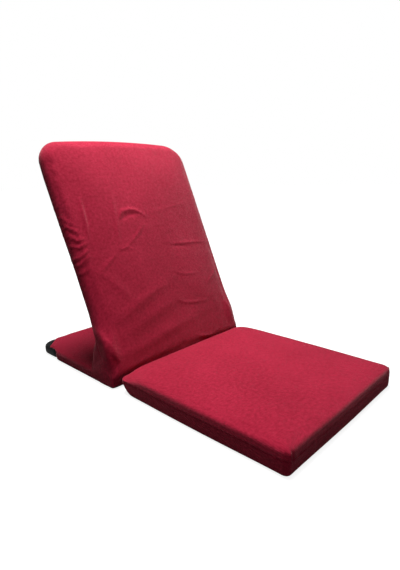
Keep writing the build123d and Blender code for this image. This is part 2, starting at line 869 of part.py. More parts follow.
def boot_profile(inset):
    """The side outline of the cloth boot over a hinge, from the tail's top to the notch."""
    up = back_hinge_notch - clearance
    front_top = back_point(up, back_front * 0.8 - inset)
    rear_top = back_point(up, -(back_rear - inset))
    low = tail_height + clearance
    front_foot = (axis_y - boot_foot_front + inset, low)
    rear_foot = (axis_y + boot_foot_rear - inset, low)
    bulge_front = (axis_y - ear_head_radius - 9.0 + inset, hinge_height + 2)
    bulge_rear = (axis_y + ear_head_radius + 8.0 - inset, hinge_height - 12)
    edges = [
        Line(front_foot, rear_foot),
        ThreePointArc(rear_foot, bulge_rear, rear_top),
        Line(rear_top, front_top),
        ThreePointArc(front_top, bulge_front, front_foot),
    ]
    return Face(Wire([e.edge() for e in edges]))


def hinge_boot():
    """The right hinge's cloth boot: a side wall and a band, open below, above and inside."""
    side_out = back_width_low / 2
    side_in = notch_inner + clearance
    outer = Pos((side_out + side_in) / 2, 0, 0) * side_plate(
        boot_profile(0.0), side_out - side_in
    )
    room_out = side_out - cloth
    room_in = side_in - 10
    grown = side_plate(boot_profile(cloth), room_out - room_in)
    room = Pos((room_out + room_in) / 2, 0, 0) * grown
    boot = outer - room
    # Open the band where the tube enters from above and the bracket from below.
    mouth_front, mouth_rear = back_front * 0.8 - cloth, back_rear - cloth
    mouth = Box(room_out - side_in + 2, mouth_front + mouth_rear, 6)
    middle = (mouth_rear - mouth_front) / 2
    mouth = lean(Pos((side_in + room_out) / 2 - 1, middle, back_hinge_notch) * mouth)
    low_mouth = Pos((side_in + room_out) / 2 - 1, axis_y + 7, tail_height) * Box(
        room_out - side_in + 2, boot_foot_front + boot_foot_rear - 12, 6
    )
    return boot - mouth - low_mouth


def gusset(foot, head, bow):
    """A bowed cloth strip between the hinges, from a foot to a head given as (Y, Z)."""
    middle = ((foot[0] + head[0]) / 2 + bow, (foot[1] + head[1]) / 2)
    thick = math.copysign(cloth, bow)

    def outside(point):
        return (point[0] + thick, point[1])

    edges = [
        ThreePointArc(foot, middle, head),
        Line(head, outside(head)),
        ThreePointArc(outside(head), outside(middle), outside(foot)),
        Line(outside(foot), foot),
    ]
    outline = Wire([e.edge() for e in edges])
    return side_plate(Face(outline), 2 * (notch_inner - clearance))


def gussets():
    """The cloth strips that close the gaps from the tail's top to the backrest's lower end."""
    low = tail_height + clearance
    rear_head = back_point(4.0, -(back_rear + clearance))
    rear = gusset((axis_y + gusset_foot_rear, low), rear_head, 3.0)
    front_head = back_point(-back_tail_below - clearance, back_front * 0.8)
    front = gusset((axis_y - gusset_foot_front, low), front_head, -3.0)
    return front, rear


# ---- write every piece --------------------------------------------------------------------
def group(shapes):
    """Several solids as one compound."""
    return Compound(children=[s for shape in shapes for s in shape.solids()])


def main():
    seat_upper, seat_lower = seat_covers()
    tail_top, tail_bottom = tail_covers()
    back_front_panel, back_rear_panel = back_covers()
    bracket_left, bracket_right = both_sides(hinge_bracket)
    cap_left, cap_right = both_sides(corner_cap)
    bolt_left, bolt_right = both_sides(pivot_bolt)
    nut_left, nut_right = both_sides(pivot_nut)
    boot_left, boot_right = both_sides(hinge_boot)
    lower_rung, upper_rung = back_rungs()
    gusset_front, gusset_rear = gussets()
    parts = {
        "seat_cover_top": seat_upper,
        "seat_cover_lower": seat_lower,
        "seat_foam": seat_foam(),
        "seat_tube": seat_tube(),
        "tail_tube": tail_tube(),
        "cross_tube": cross_tube(),
        "rail_end_plugs": group(rail_end_plugs()),
        "corner_cap_left": cap_left,
        "corner_cap_right": cap_right,
        "hinge_bracket_left": bracket_left,
        "hinge_bracket_right": bracket_right,
        "bracket_rivets": group(bracket_rivets()),
        "pivot_bolt_left": bolt_left,
        "pivot_bolt_right": bolt_right,
        "pivot_nut_left": nut_left,
        "pivot_nut_right": nut_right,
        "pivot_washers": group(pivot_washers()),
        "stop_pins": group(stop_pins()),
        "tail_webbing": group(tail_webbing()),
        "tail_pad": tail_pad(),
        "tail_cover_top": tail_top,
        "tail_cover_bottom": tail_bottom,
        "back_tube": back_tube(),
        "back_rung_lower": lower_rung,
        "back_rung_upper": upper_rung,
        "back_webbing": group(back_webbing()),
        "back_pad": back_pad(),
        "back_cover_front": back_front_panel,
        "back_cover_rear": back_rear_panel,
        "hinge_boot_left": boot_left,
        "hinge_boot_right": boot_right,
        "gusset_front": gusset_front,
        "gusset_rear": gusset_rear,
    }
    os.makedirs("parts", exist_ok=True)
    for name, shape in parts.items():
        export_step(shape, f"parts/{name}.step")


main()
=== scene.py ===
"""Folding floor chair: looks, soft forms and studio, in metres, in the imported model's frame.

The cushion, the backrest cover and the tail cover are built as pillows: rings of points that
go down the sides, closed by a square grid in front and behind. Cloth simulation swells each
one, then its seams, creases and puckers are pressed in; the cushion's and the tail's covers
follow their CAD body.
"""

import logging
import math
from dataclasses import dataclass
from enum import Enum
from typing import Any, Callable, Sequence

import bmesh
import bpy
import numpy as np
from mathutils import Matrix, Vector


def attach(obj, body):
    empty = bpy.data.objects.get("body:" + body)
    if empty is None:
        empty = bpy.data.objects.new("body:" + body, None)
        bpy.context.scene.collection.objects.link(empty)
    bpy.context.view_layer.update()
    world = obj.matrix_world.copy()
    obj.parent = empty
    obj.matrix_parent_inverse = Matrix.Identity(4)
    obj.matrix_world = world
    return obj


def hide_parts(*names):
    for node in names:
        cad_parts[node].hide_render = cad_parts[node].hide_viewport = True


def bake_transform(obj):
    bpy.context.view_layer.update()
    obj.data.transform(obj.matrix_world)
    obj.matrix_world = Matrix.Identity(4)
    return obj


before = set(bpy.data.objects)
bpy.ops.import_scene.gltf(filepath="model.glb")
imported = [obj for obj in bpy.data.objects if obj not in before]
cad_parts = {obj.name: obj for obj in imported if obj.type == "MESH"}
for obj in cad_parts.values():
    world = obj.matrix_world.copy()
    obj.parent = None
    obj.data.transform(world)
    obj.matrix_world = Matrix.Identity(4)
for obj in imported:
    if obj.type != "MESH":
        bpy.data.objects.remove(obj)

LOG = logging.getLogger("floor_chair")
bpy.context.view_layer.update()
MM = 0.001
TINY = 1e-9

Points = np.ndarray


# ---- small helpers ------------------------------------------------------------------------
def srgb(code: str) -> tuple[float, float, float, float]:
    """Turns a written colour to linear light.

    Args:
        code: six hex digits, as in "#a02040".

    Returns:
        Linear red, green, blue and an alpha of 1.
    """
    parts = [int(code[place:place + 2], 16) / 255 for place in (1, 3, 5)]
    linear = [c / 12.92 if c <= 0.04045 else ((c + 0.055) / 1.055) ** 2.4 for c in parts]
    return (linear[0], linear[1], linear[2], 1.0)


def socket(group: Any, key: str | int) -> Any:
    """Finds a node's input or output.

    Args:
        group: the node's inputs or outputs.
        key: the socket's place, identifier or name.

    Returns:
        The socket.
    """
    if isinstance(key, int):
        return group[key]
    for item in group:
        if item.identifier == key:
            return item
    return group[key]


def add(tree: Any, kind: str, settings: dict[str, Any] | None = None,
        inputs: dict[str | int, Any] | None = None) -> Any:
    """Adds one node with its settings, values and links.

    Args:
        tree: the node tree.
        kind: the node's type name.
        settings: attributes of the node.
        inputs: for each input a value, or a pair of node and output to link from.

    Returns:
        The new node.
    """
    node = tree.nodes.new(kind)
    for name, value in (settings or {}).items():
        setattr(node, name, value)
    for key, value in (inputs or {}).items():
        target = socket(node.inputs, key)
        if isinstance(value, tuple) and len(value) == 2 and hasattr(value[0], "outputs"):
            tree.links.new(socket(value[0].outputs, value[1]), target)
        else:
            target.default_value = value
    return node


def maths(tree: Any, operation: str, *values: Any) -> Any:
    """Adds a maths node, whose values are numbers or pairs of node and output."""
    return add(tree, "ShaderNodeMath", {"operation": operation}, dict(enumerate(values)))


def mix_colours(tree: Any, share: tuple[Any, Any], low: Any, high: Any) -> Any:
    """Adds a colour mix that runs from low to high with the share."""
    return add(tree, "ShaderNodeMix", {"data_type": "RGBA"},
               {"Factor_Float": share, "A_Color": low, "B_Color": high})


def seen_directly(tree: Any) -> Any:
    """Adds nodes that give 1 to camera, glossy and transmission rays, and 0 to others."""
    path = add(tree, "ShaderNodeLightPath")
    direct = maths(tree, "MAXIMUM", (path, "Is Camera Ray"), (path, "Is Glossy Ray"))
    return maths(tree, "MAXIMUM", (direct, 0), (path, "Is Transmission Ray"))


def new_material(name: str) -> tuple[Any, Any]:
    """Makes a material with an empty node tree.

    Args:
        name: the material's name.

    Returns:
        The material and its tree.
    """
    made = bpy.data.materials.new(name)
    made.use_nodes = True
    made.node_tree.nodes.clear()
    return made, made.node_tree


def smooth_between(low: float, high: float, value: Points) -> Points:
    """A soft step from 0 at low to 1 at high."""
    share = np.clip((value - low) / (high - low), 0, 1)
    return share * share * (3 - 2 * share)


def bell(gap: Points, width: float) -> Points:
    """A soft bump: 1 where the gap is 0, fading over the width."""
    return np.exp(-(gap / width) ** 2)


def round_corner(over: Points, past: Points) -> tuple[Points, Points]:
    """Finds the points in a square corner, and how far each shrinks to make it round.

    Args:
        over: how far each point lies past the corner's centre, one way.
        past: the same, the other way.

    Returns:
        Whether each point lies in the corner, and what share of its distance it keeps.
    """
    corner = (over > 0) & (past > 0)
    keep = np.maximum(over, past) / np.maximum(np.hypot(over, past), TINY)
    return corner, np.where(corner, keep, 1.0)


def spread(run: Points, count: int) -> tuple[Points, Points]:
    """Spreads points evenly along a line of points.

    Args:
        run: the line's points (x, y).
        count: how many points; the first lies at the start, and none at the end.

    Returns:
        The points, and how far along the line each of them lies, as a share.
    """
    length = np.concatenate([[0], np.cumsum(np.linalg.norm(np.diff(run, axis=0), axis=1))])
    places = np.linspace(0, length[-1], count + 1)[:-1]
    x = np.interp(places, length, run[:, 0])
    y = np.interp(places, length, run[:, 1])
    return np.stack([x, y], 1), places / length[-1]


def in_row_frame(points: Points, to_row: Matrix) -> Points:
    """Turns points from a piece's own frame into the row frame."""
    turned = np.array(to_row)
    return points @ turned[:3, :3].T + turned[:3, 3]


def catmull(levels: Sequence[Sequence[float]], steps: int) -> Points:
    """Rounds a run of levels with a smooth curve through every one of them.

    Args:
        levels: rows of numbers, first to last.
        steps: new rows for each gap.

    Returns:
        The finer rows, ends included.
    """
    rows = np.array(levels, float)
    padded = np.vstack([2 * rows[0] - rows[1], rows, 2 * rows[-1] - rows[-2]])
    fine = []
    for index in range(len(rows) - 1):
        a, b, c, d = padded[index:index + 4]
        for step in range(steps):
            t = step / steps
            fine.append(0.5 * (2 * b + (c - a) * t + (2 * a - 5 * b + 4 * c - d) * t * t
                               + (3 * b - a - 3 * c + d) * t ** 3))
    fine.append(rows[-1])
    return np.array(fine)


def put(name: str, data: Any) -> Any:
    """Makes an object of a mesh, a camera or a lamp, and links it to the scene.

    Args:
        name: the object's name.
        data: what it holds.

    Returns:
        The object.
    """
    thing = bpy.data.objects.new(name, data)
    bpy.context.scene.collection.objects.link(thing)
    return thing


def new_object(name: str, vertices: Points, faces: Sequence[Sequence[int]]) -> Any:
    """Makes a mesh object at the origin.

    Args:
        name: the object's name.
        vertices: its points.
        faces: for each face its points' numbers, anticlockwise from outside.

    Returns:
        The object.
    """
    mesh = bpy.data.meshes.new(name)
    mesh.from_pydata([tuple(p) for p in vertices], [], [tuple(f) for f in faces])
    mesh.validate()
    mesh.update()
    return put(name, mesh)


def lay_map(mesh: Any, flat: Any) -> None:
    """Lays the cloth map: for each corner of a face its place on the flat cloth, in metres."""
    layer = mesh.uv_layers.new(name="cloth")
    layer.data.foreach_set("uv", np.array(flat, np.float32).ravel())


def evaluated_points(thing: Any) -> Points:
    """Reads the points of an object's mesh with its modifiers.

    Args:
        thing: the object.

    Returns:
        The points, in the object's own frame.
    """
    graph = bpy.context.evaluated_depsgraph_get()
    mesh = thing.evaluated_get(graph).to_mesh()
    points = np.zeros(len(mesh.vertices) * 3)
    mesh.vertices.foreach_get("co", points)
    thing.evaluated_get(graph).to_mesh_clear()
    return points.reshape(-1, 3)


def plain_copy(thing: Any) -> Any:
    """An object's evaluated mesh, as a new plain mesh with no modifiers."""
    graph = bpy.context.evaluated_depsgraph_get()
    return bpy.data.meshes.new_from_object(thing.evaluated_get(graph))


def set_points(mesh: Any, points: Points) -> None:
    """Writes a mesh's points."""
    mesh.vertices.foreach_set("co", points.astype(np.float32).ravel())
    mesh.update()


def point_normals(mesh: Any) -> Points:
    """Reads the mesh's vertex normals, one row for each point."""
    normals = np.zeros(len(mesh.vertices) * 3, np.float32)
    mesh.vertex_normals.foreach_get("vector", normals)
    return normals.reshape(-1, 3).astype(float)


# ---- finishes -----------------------------------------------------------------------------
class Weave(Enum):
    """How a cloth's threads cross."""

    CANVAS = "canvas"
    WEBBING = "webbing"


@dataclass(frozen=True)
class ClothFinish:
    """Dyed woven cotton or webbing: matt, a soft sheen at grazing angles, threads in relief."""

    name: str
    colour: str
    shade: str
    thread_mm: float
    weave: Weave
    roughness: float = 0.86
    sheen: float = 0.5
    relief: float = 0.5
    lint: bool = False

    def material(self) -> Any:
        """Builds the cloth's material.

        Returns:
            The material, which reads the piece's own UV map in metres.
        """
        made, tree = new_material(self.name)
        flat = add(tree, "ShaderNodeUVMap", {"uv_map": "cloth"})
        place = add(tree, "ShaderNodeTexCoord")
        turn = math.radians(0 if self.weave is Weave.WEBBING else 38)
        ways = []
        # One wave of the texture is 0.314 units long, so this scale gives one per thread.
        scale = 0.314 / (self.thread_mm * MM)
        for angle in (turn, turn + math.radians(90)):
            mapped = add(tree, "ShaderNodeMapping", inputs={
                "Vector": (flat, "UV"), "Rotation": (0, 0, angle)})
            ways.append(add(tree, "ShaderNodeTexWave", inputs={
                "Vector": (mapped, 0), "Scale": scale, "Distortion": 1.2, "Detail": 1.0,
                "Detail Scale": 0.6}))
        threads = maths(tree, "MULTIPLY", (ways[0], "Fac"), (ways[1], "Fac"))
        # Slubs: yarn thick and thin, a few threads wide.
        slubs = add(tree, "ShaderNodeTexNoise", inputs={
            "Vector": (flat, "UV"), "Scale": 1 / (2.2 * self.thread_mm * MM), "Detail": 3.0,
            "Roughness": 0.6})
        # Patches where the dye took a little differently, about a hand wide.
        patches = add(tree, "ShaderNodeTexNoise", inputs={
            "Vector": (place, "Object"), "Scale": 7.0, "Detail": 2.0})
        mottled = add(tree, "ShaderNodeMapRange", inputs={
            "Value": (patches, "Fac"), "From Min": 0.3, "From Max": 0.7,
            "To Min": -0.12, "To Max": 0.12})
        # Nubs: small knots in the yarn, darker or lighter than the rest.
        nubs = add(tree, "ShaderNodeTexNoise", inputs={
            "Vector": (flat, "UV"), "Scale": 1 / (3.2 * self.thread_mm * MM), "Detail": 1.0})
        nubbed = add(tree, "ShaderNodeMapRange", inputs={
            "Value": (nubs, "Fac"), "From Min": 0.3, "From Max": 0.7,
            "To Min": -0.16, "To Max": 0.16})
        uneven = maths(tree, "ADD", (mottled, "Result"), (nubbed, "Result"))
        grain = maths(tree, "MULTIPLY_ADD", (slubs, "Fac"), 0.55, (uneven, 0))
        depth = maths(tree, "MULTIPLY_ADD", (threads, 0), 0.42, (grain, 0))
        depth.use_clamp = True
        colour = mix_colours(tree, (depth, 0), srgb(self.shade), srgb(self.colour))
        if self.lint:
            specks = add(tree, "ShaderNodeTexVoronoi", inputs={
                "Vector": (flat, "UV"), "Scale": 11.0})
            near = maths(tree, "LESS_THAN", (specks, "Distance"), 0.010)
            colour = mix_colours(tree, (near, 0), (colour, "Result_Color"), srgb("#e0a7ad"))
        height = maths(tree, "MULTIPLY_ADD", (slubs, "Fac"), 0.8, (threads, 0))
        bump = add(tree, "ShaderNodeBump", inputs={
            "Height": (height, 0), "Strength": self.relief,
            "Distance": self.thread_mm * MM * 0.5})
        shader = add(tree, "ShaderNodeBsdfPrincipled", inputs={
            "Base Color": (colour, "Result_Color"), "Roughness": self.roughness,
            "Normal": (bump, 0), "Sheen Weight": self.sheen, "Sheen Roughness": 0.4,
            "Sheen Tint": srgb("#ffc8cc"), "Specular IOR Level": 0.04})
        add(tree, "ShaderNodeOutputMaterial", inputs={"Surface": (shader, 0)})
        return made


@dataclass(frozen=True)
class HardFinish:
    """A hard surface with its grain: moulded plastic, powder paint or plated steel."""

    name: str
    colour: str
    shade: str
    roughness: float
    grain_mm: float
    relief: float
    metallic: float = 0.0
    ior: float = 1.5
    coat: float = 0.0

    def material(self) -> Any:
        """Builds the material on Object coordinates, so it needs no UV map.

        Returns:
            The material.
        """
        made, tree = new_material(self.name)
        place = add(tree, "ShaderNodeTexCoord")
        grain = add(tree, "ShaderNodeTexNoise", inputs={
            "Vector": (place, "Object"), "Scale": 1 / (self.grain_mm * MM), "Detail": 4.0})
        wear = add(tree, "ShaderNodeTexNoise", inputs={
            "Vector": (place, "Object"), "Scale": 28.0, "Detail": 5.0, "Roughness": 0.65})
        share = add(tree, "ShaderNodeMapRange", inputs={
            "Value": (wear, "Fac"), "From Min": 0.35, "From Max": 0.7})
        colour = mix_colours(tree, (share, "Result"), srgb(self.shade), srgb(self.colour))
        gloss = add(tree, "ShaderNodeMapRange", inputs={
            "Value": (wear, "Fac"), "From Min": 0.3, "From Max": 0.7,
            "To Min": self.roughness + 0.08, "To Max": self.roughness - 0.06})
        bump = add(tree, "ShaderNodeBump", inputs={
            "Height": (grain, "Fac"), "Strength": self.relief,
            "Distance": self.grain_mm * MM * 0.4})
        values = {"Base Color": (colour, "Result_Color"), "Roughness": (gloss, "Result"),
                  "Normal": (bump, 0), "Metallic": self.metallic, "Coat Weight": self.coat}
        if not self.metallic:
            values["IOR"] = self.ior
        shader = add(tree, "ShaderNodeBsdfPrincipled", inputs=values)
        add(tree, "ShaderNodeOutputMaterial", inputs={"Surface": (shader, 0)})
        return made


@dataclass(frozen=True)
class FoamFinish:
    """Open-cell polyurethane foam: matt, with small round cells in relief."""

    name: str
    colour: str
    shade: str
    cell_mm: float = 1.6

    def material(self) -> Any:
        """Builds the foam's material on Object coordinates.

        Returns:
            The material.
        """
        made, tree = new_material(self.name)
        place = add(tree, "ShaderNodeTexCoord")
        cells = add(tree, "ShaderNodeTexVoronoi", inputs={
            "Vector": (place, "Object"), "Scale": 1 / (self.cell_mm * MM)})
        colour = mix_colours(tree, (cells, "Distance"), srgb(self.shade), srgb(self.colour))
        bump = add(tree, "ShaderNodeBump", inputs={
            "Height": (cells, "Distance"), "Strength": 0.5, "Distance": self.cell_mm * MM * 0.5})
        shader = add(tree, "ShaderNodeBsdfPrincipled", inputs={
            "Base Color": (colour, "Result_Color"), "Roughness": 0.95, "Normal": (bump, 0),
            "Specular IOR Level": 0.2})
        add(tree, "ShaderNodeOutputMaterial", inputs={"Surface": (shader, 0)})
        return made


# Cotton canvas, piece-dyed: the threads are half a millimetre apart on the real cover, which is
# too fine to show here, so they are drawn 2.4 mm apart.
CANVAS = ClothFinish("dyed_cotton_canvas", "#d12f4f", "#97142e", 2.4, Weave.CANVAS, lint=True)
# The covers' seams are sewn with a thread of nearly the same red.
THREAD = ClothFinish("polyester_sewing_thread", "#93213a", "#6e1528", 0.6, Weave.WEBBING,
                     roughness=0.6, sheen=0.1)
# Straps across the frame, plain black.
WEBBING = ClothFinish("polypropylene_webbing", "#2b2b2e", "#141416", 1.8, Weave.WEBBING,
                      roughness=0.6, sheen=0.05, relief=0.6)
# Injection-moulded polypropylene: a fine spark-eroded grain and a low sheen.
CAP_PLASTIC = HardFinish("moulded_polypropylene", "#0b0b0c", "#060607", 0.55, 0.5, 0.18,
                         ior=1.13)
# Powder-coated steel: a slight orange peel under a satin gloss.
FRAME_PAINT = HardFinish("powder_coated_steel", "#26282b", "#191b1d", 0.38, 1.4, 0.12, coat=0.2)
# Zinc-plated steel: bluish grey, spangled, duller where it is handled.
ZINC = HardFinish("zinc_plated_steel", "#b9bec4", "#8d939b", 0.34, 1.0, 0.06, metallic=1.0)
# Nylon washers: off-white and waxy.
NYLON = HardFinish("moulded_nylon", "#e6e2d6", "#d3cdbd", 0.4, 0.8, 0.08, ior=1.53)
FOAM = FoamFinish("open_cell_foam", "#e8dcb8", "#bda878")


# ---- pillow forms -------------------------------------------------------------------------
@dataclass
class Pillow:
    """A closed padded form: side rings from its front face to its rear face.

    Attributes:
        ring: gives a ring's points from a level's numbers, each side cut into `across` runs.
        levels: rows of numbers from the front face's rim to the rear face's rim.
        across: runs on each of the four sides.
        crown: how far the front face's middle stands proud of its rim; the rear is flat.
        mould: bends the plain form's points into the piece's own shape.
        crown_power: how squarely the crown falls off towards the rim.
    """

    ring: Callable[[Points, int], Points]
    levels: Points
    across: int
    crown: float
    mould: Callable[[Points], Points]
    crown_power: float = 3.4

    def grid(self, rim: Points, crown: float) -> Points:
        """The inner points of a face closed by a square grid.

        Args:
            rim: the rim's points, 4 * across of them.
            crown: the middle's height over the rim's own plane.

        Returns:
            (across - 1) squared points, row by row.
        """
        count = self.across
        middle = (rim.min(0) + rim.max(0)) / 2
        rise = np.array([0, 0, crown])
        points = []
        for row in range(1, count):
            for column in range(1, count):
                u, v = 2 * column / count - 1, 2 * row / count - 1
                share = max(abs(u), abs(v))
                if share < TINY:
                    points.append(middle + rise)
                    continue
                place = rim_place(u / share, v / share, count)
                first = int(place) % (4 * count)
                part = place - int(place)
                edge = rim[first] * (1 - part) + rim[(first + 1) % (4 * count)] * part
                points.append(middle + (edge - middle) * share
                              + rise * (1 - share ** self.crown_power))
        return np.array(points)

    def build(self) -> tuple[Points, list[list[int]], list[list[tuple[float, float]]]]:
        """Builds the form.

        Returns:
            Its points, its faces and each face's corner positions on the flat cloth.
        """
        count, total = self.across, 4 * self.across
        rings = [self.ring(level, count) for level in self.levels]
        front = self.grid(rings[0], self.crown)
        rear = self.grid(rings[-1], 0.0)
        points = np.vstack([*rings, front, rear])
        faces: list[list[int]] = []
        flat: list[list[tuple[float, float]]] = []
        around = np.concatenate([[0], np.cumsum(np.linalg.norm(
            np.roll(rings[len(rings) // 2], -1, 0) - rings[len(rings) // 2], axis=1))])
        down = np.concatenate([[0], np.cumsum([
            np.linalg.norm(b - a, axis=1).mean() for a, b in zip(rings, rings[1:])])])
        for level in range(len(rings) - 1):
            for index in range(total):
                after = (index + 1) % total
                low, high = level * total, (level + 1) * total
                faces.append([low + index, high + index, high + after, low + after])
                flat.append([(around[index], down[level]), (around[index], down[level + 1]),
                             (around[index + 1], down[level + 1]),
                             (around[index + 1], down[level])])
        for start, rim_start, flip in (
            (len(rings) * total, 0, False),
            (len(rings) * total + len(front), (len(rings) - 1) * total, True),
        ):
            def at(column: int, row: int) -> int:
                """Gives a grid place's point number.

                Args:
                    column: the place across, from 0.
                    row: the place along, from 0.

                Returns:
                    The number, of an inner point or one of the rim.
                """
                if 0 < column < count and 0 < row < count:
                    return start + (row - 1) * (count - 1) + column - 1
                return rim_start + round(rim_place(2 * column / count - 1,
                                                   2 * row / count - 1, count)) % total
            for row in range(count):
                for column in range(count):
                    face = [at(column, row), at(column + 1, row), at(column + 1, row + 1),
                            at(column, row + 1)]
                    if flip:
                        face.reverse()
                    faces.append(face)
                    flat.append([(float(points[i][0]), float(points[i][1])) for i in face])
        return self.mould(points), faces, flat


def rim_place(u: float, v: float, count: int) -> float:
    """How far round a square's edge a point lies, in runs, from the corner (-1, -1).

    Args:
        u: the point's first coordinate, from -1 to 1.
        v: its second one.
        count: runs on each side.

    Returns:
        The distance, from 0 to 4 * count.
    """
    if v <= -1 + TINY:
        return (u + 1) / 2 * count
    if u >= 1 - TINY:
        return count + (v + 1) / 2 * count
    if v >= 1 - TINY:
        return 2 * count + (1 - u) / 2 * count
    return 3 * count + (1 - v) / 2 * count


def rounded_ring(corners: Sequence[tuple[float, float, float]], count: int,
                 draw_in: float) -> Points:
    """A ring round four corners, each with its radius, its sides drawn in.

    Args:
        corners: (x, y, radius), anticlockwise from the low left one.
        count: runs from the middle of one corner's turn to the middle of the next.
        draw_in: how far a side's middle is pulled inwards.

    Returns:
        4 * count points (x, y).
    """
    points: list[Points] = []
    middle = np.mean([[x, y] for x, y, _ in corners], axis=0)
    for side in range(4):
        here, there = np.array(corners[side]), np.array(corners[(side + 1) % 4])
        before, after = np.array(corners[(side + 3) % 4]), np.array(corners[(side + 2) % 4])
        line = corner_half(here, there, before, last=True)
        line += corner_half(there, here, after, last=False)
        side_points, share = spread(np.array(line), count)
        inward = middle - (here[:2] + there[:2]) / 2
        inward = inward / np.linalg.norm(inward)
        pulled = draw_in * np.sin(math.pi * share) ** 2
        points.append(side_points + pulled[:, None] * inward)
    return np.vstack(points)


def corner_half(corner: Points, along: Points, before: Points, last: bool) -> list[Points]:
    """Half of a rounded corner's turn, from its middle to the side towards `along`.

    Args:
        corner: (x, y, radius) of the corner.
        along: the corner that this half turns towards.
        before: the corner on its other side.
        last: whether the points run from the middle outwards, or back to it.

    Returns:
        The points, nine of them.
    """
    radius, steps = corner[2], 8
    forward = along[:2] - corner[:2]
    forward = forward / np.linalg.norm(forward)
    backward = before[:2] - corner[:2]
    backward = backward / np.linalg.norm(backward)
    bisector = forward + backward
    bisector = bisector / np.linalg.norm(bisector)
    half_angle = math.acos(float(np.clip(forward @ backward, -1, 1))) / 2
    centre = corner[:2] + bisector * radius / math.sin(half_angle)
    reach = corner[:2] + forward * radius / math.tan(half_angle) - centre
    # The turn runs back from the side's start towards the other side.
    way = 1 if forward[0] * backward[1] - forward[1] * backward[0] < 0 else -1
    turn = math.pi / 2 - half_angle
    points = []
    for step in range(steps + 1):
        angle = turn * (1 - step / steps) * way
        c, s = math.cos(angle), math.sin(angle)
        points.append(centre + np.array([reach[0] * c - reach[1] * s,
                                         reach[0] * s + reach[1] * c]))
    return points if last else points[::-1]


# ---- creases and seams --------------------------------------------------------------------
@dataclass(frozen=True)
class Crease:
    """A fold in the cloth along a short line on a face.

    Attributes:
        line: points (x, y) of the face, in millimetres.
        height: how far the fold stands out, in millimetres; below 0 it is pressed in.
        width: the fold's half width in millimetres.
    """

    line: tuple[tuple[float, float], ...]
    height: float
    width: float

    def lift(self, x: Points, y: Points) -> Points:
        """How far the fold lifts each point.

        Args:
            x: across, in metres.
            y: along, in metres.

        Returns:
            The lift in metres, fading towards the line's ends.
        """
        path = np.array(self.line) * MM
        lengths = np.linalg.norm(np.diff(path, axis=0), axis=1)
        total = lengths.sum()
        best = np.full(len(x), 1e9)
        where = np.zeros(len(x))
        run = 0.0
        for (x0, y0), (x1, y1), length in zip(path, path[1:], lengths):
            dx, dy = x1 - x0, y1 - y0
            t = np.clip(((x - x0) * dx + (y - y0) * dy) / (length * length), 0, 1)
            gap = np.hypot(x - x0 - dx * t, y - y0 - dy * t)
            nearer = gap < best
            best = np.where(nearer, gap, best)
            where = np.where(nearer, (run + t * length) / total, where)
            run += length
        fade = np.sin(math.pi * np.clip(where * 0.92 + 0.04, 0, 1)) ** 0.7
        return self.height * MM * fade * bell(best, self.width * MM)


def ripple(x: Points, y: Points, seed: int, size: float) -> Points:
    """Smooth random unevenness between -1 and 1, from a few fixed waves.

    Args:
        x: first coordinate in metres.
        y: second coordinate in metres.
        seed: fixes the waves.
        size: the waves' typical length in metres.

    Returns:
        The unevenness at each point.
    """
    waves, gain = 9, 1.6
    dice = np.random.default_rng(seed)
    total = np.zeros(len(x))
    for _ in range(waves):
        angle, phase = dice.uniform(0, math.pi), dice.uniform(0, 2 * math.pi)
        wave = 2 * math.pi / (size * dice.uniform(0.7, 1.6))
        total += np.sin((x * math.cos(angle) + y * math.sin(angle)) * wave + phase)
    return total / waves * gain


@dataclass(frozen=True)
class Swelling:
    """How the cloth simulation blows a cover up.

    Attributes:
        pressure: the air's push.
        cap: how far a point may move, in metres.
        inward: how far it may move inwards, in metres.
        spare: how much larger the cloth is cut than the form, as a share.
        frames: how long the simulation runs.
    """

    pressure: float
    cap: float
    inward: float
    spare: float
    frames: int = 20

    def run(self, thing: Any) -> Points:
        """Simulates the cover.

        Args:
            thing: the cover, a closed mesh.

        Returns:
            Its points afterwards, none moved further than the cap.
        """
        before = np.array([v.co for v in thing.data.vertices])
        cloth = thing.modifiers.new("swell", "CLOTH")
        rules = {"quality": 4, "mass": 0.3, "tension_stiffness": 12,
                 "compression_stiffness": 12, "shear_stiffness": 6, "bending_stiffness": 0.4,
                 "use_pressure": True, "uniform_pressure_force": self.pressure,
                 "shrink_min": -self.spare}
        for key, value in rules.items():
            setattr(cloth.settings, key, value)
        cloth.settings.effector_weights.gravity = 0
        cloth.collision_settings.use_collision = False
        cloth.point_cache.frame_start = 1
        cloth.point_cache.frame_end = self.frames
        scene = bpy.context.scene
        for number in range(1, self.frames + 1):
            scene.frame_set(number)
        after = evaluated_points(thing)
        thing.modifiers.remove(cloth)
        scene.frame_set(1)
        moved = after - before
        moved -= moved.mean(0)
        normals = point_normals(thing.data)
        out = np.sum(moved * normals, 1)
        moved += normals * (np.maximum(out, -self.inward) - out)[:, None]
        length = np.linalg.norm(moved, axis=1)
        moved *= (self.cap * np.tanh(length / self.cap) / np.maximum(length, TINY))[:, None]
        return before + moved


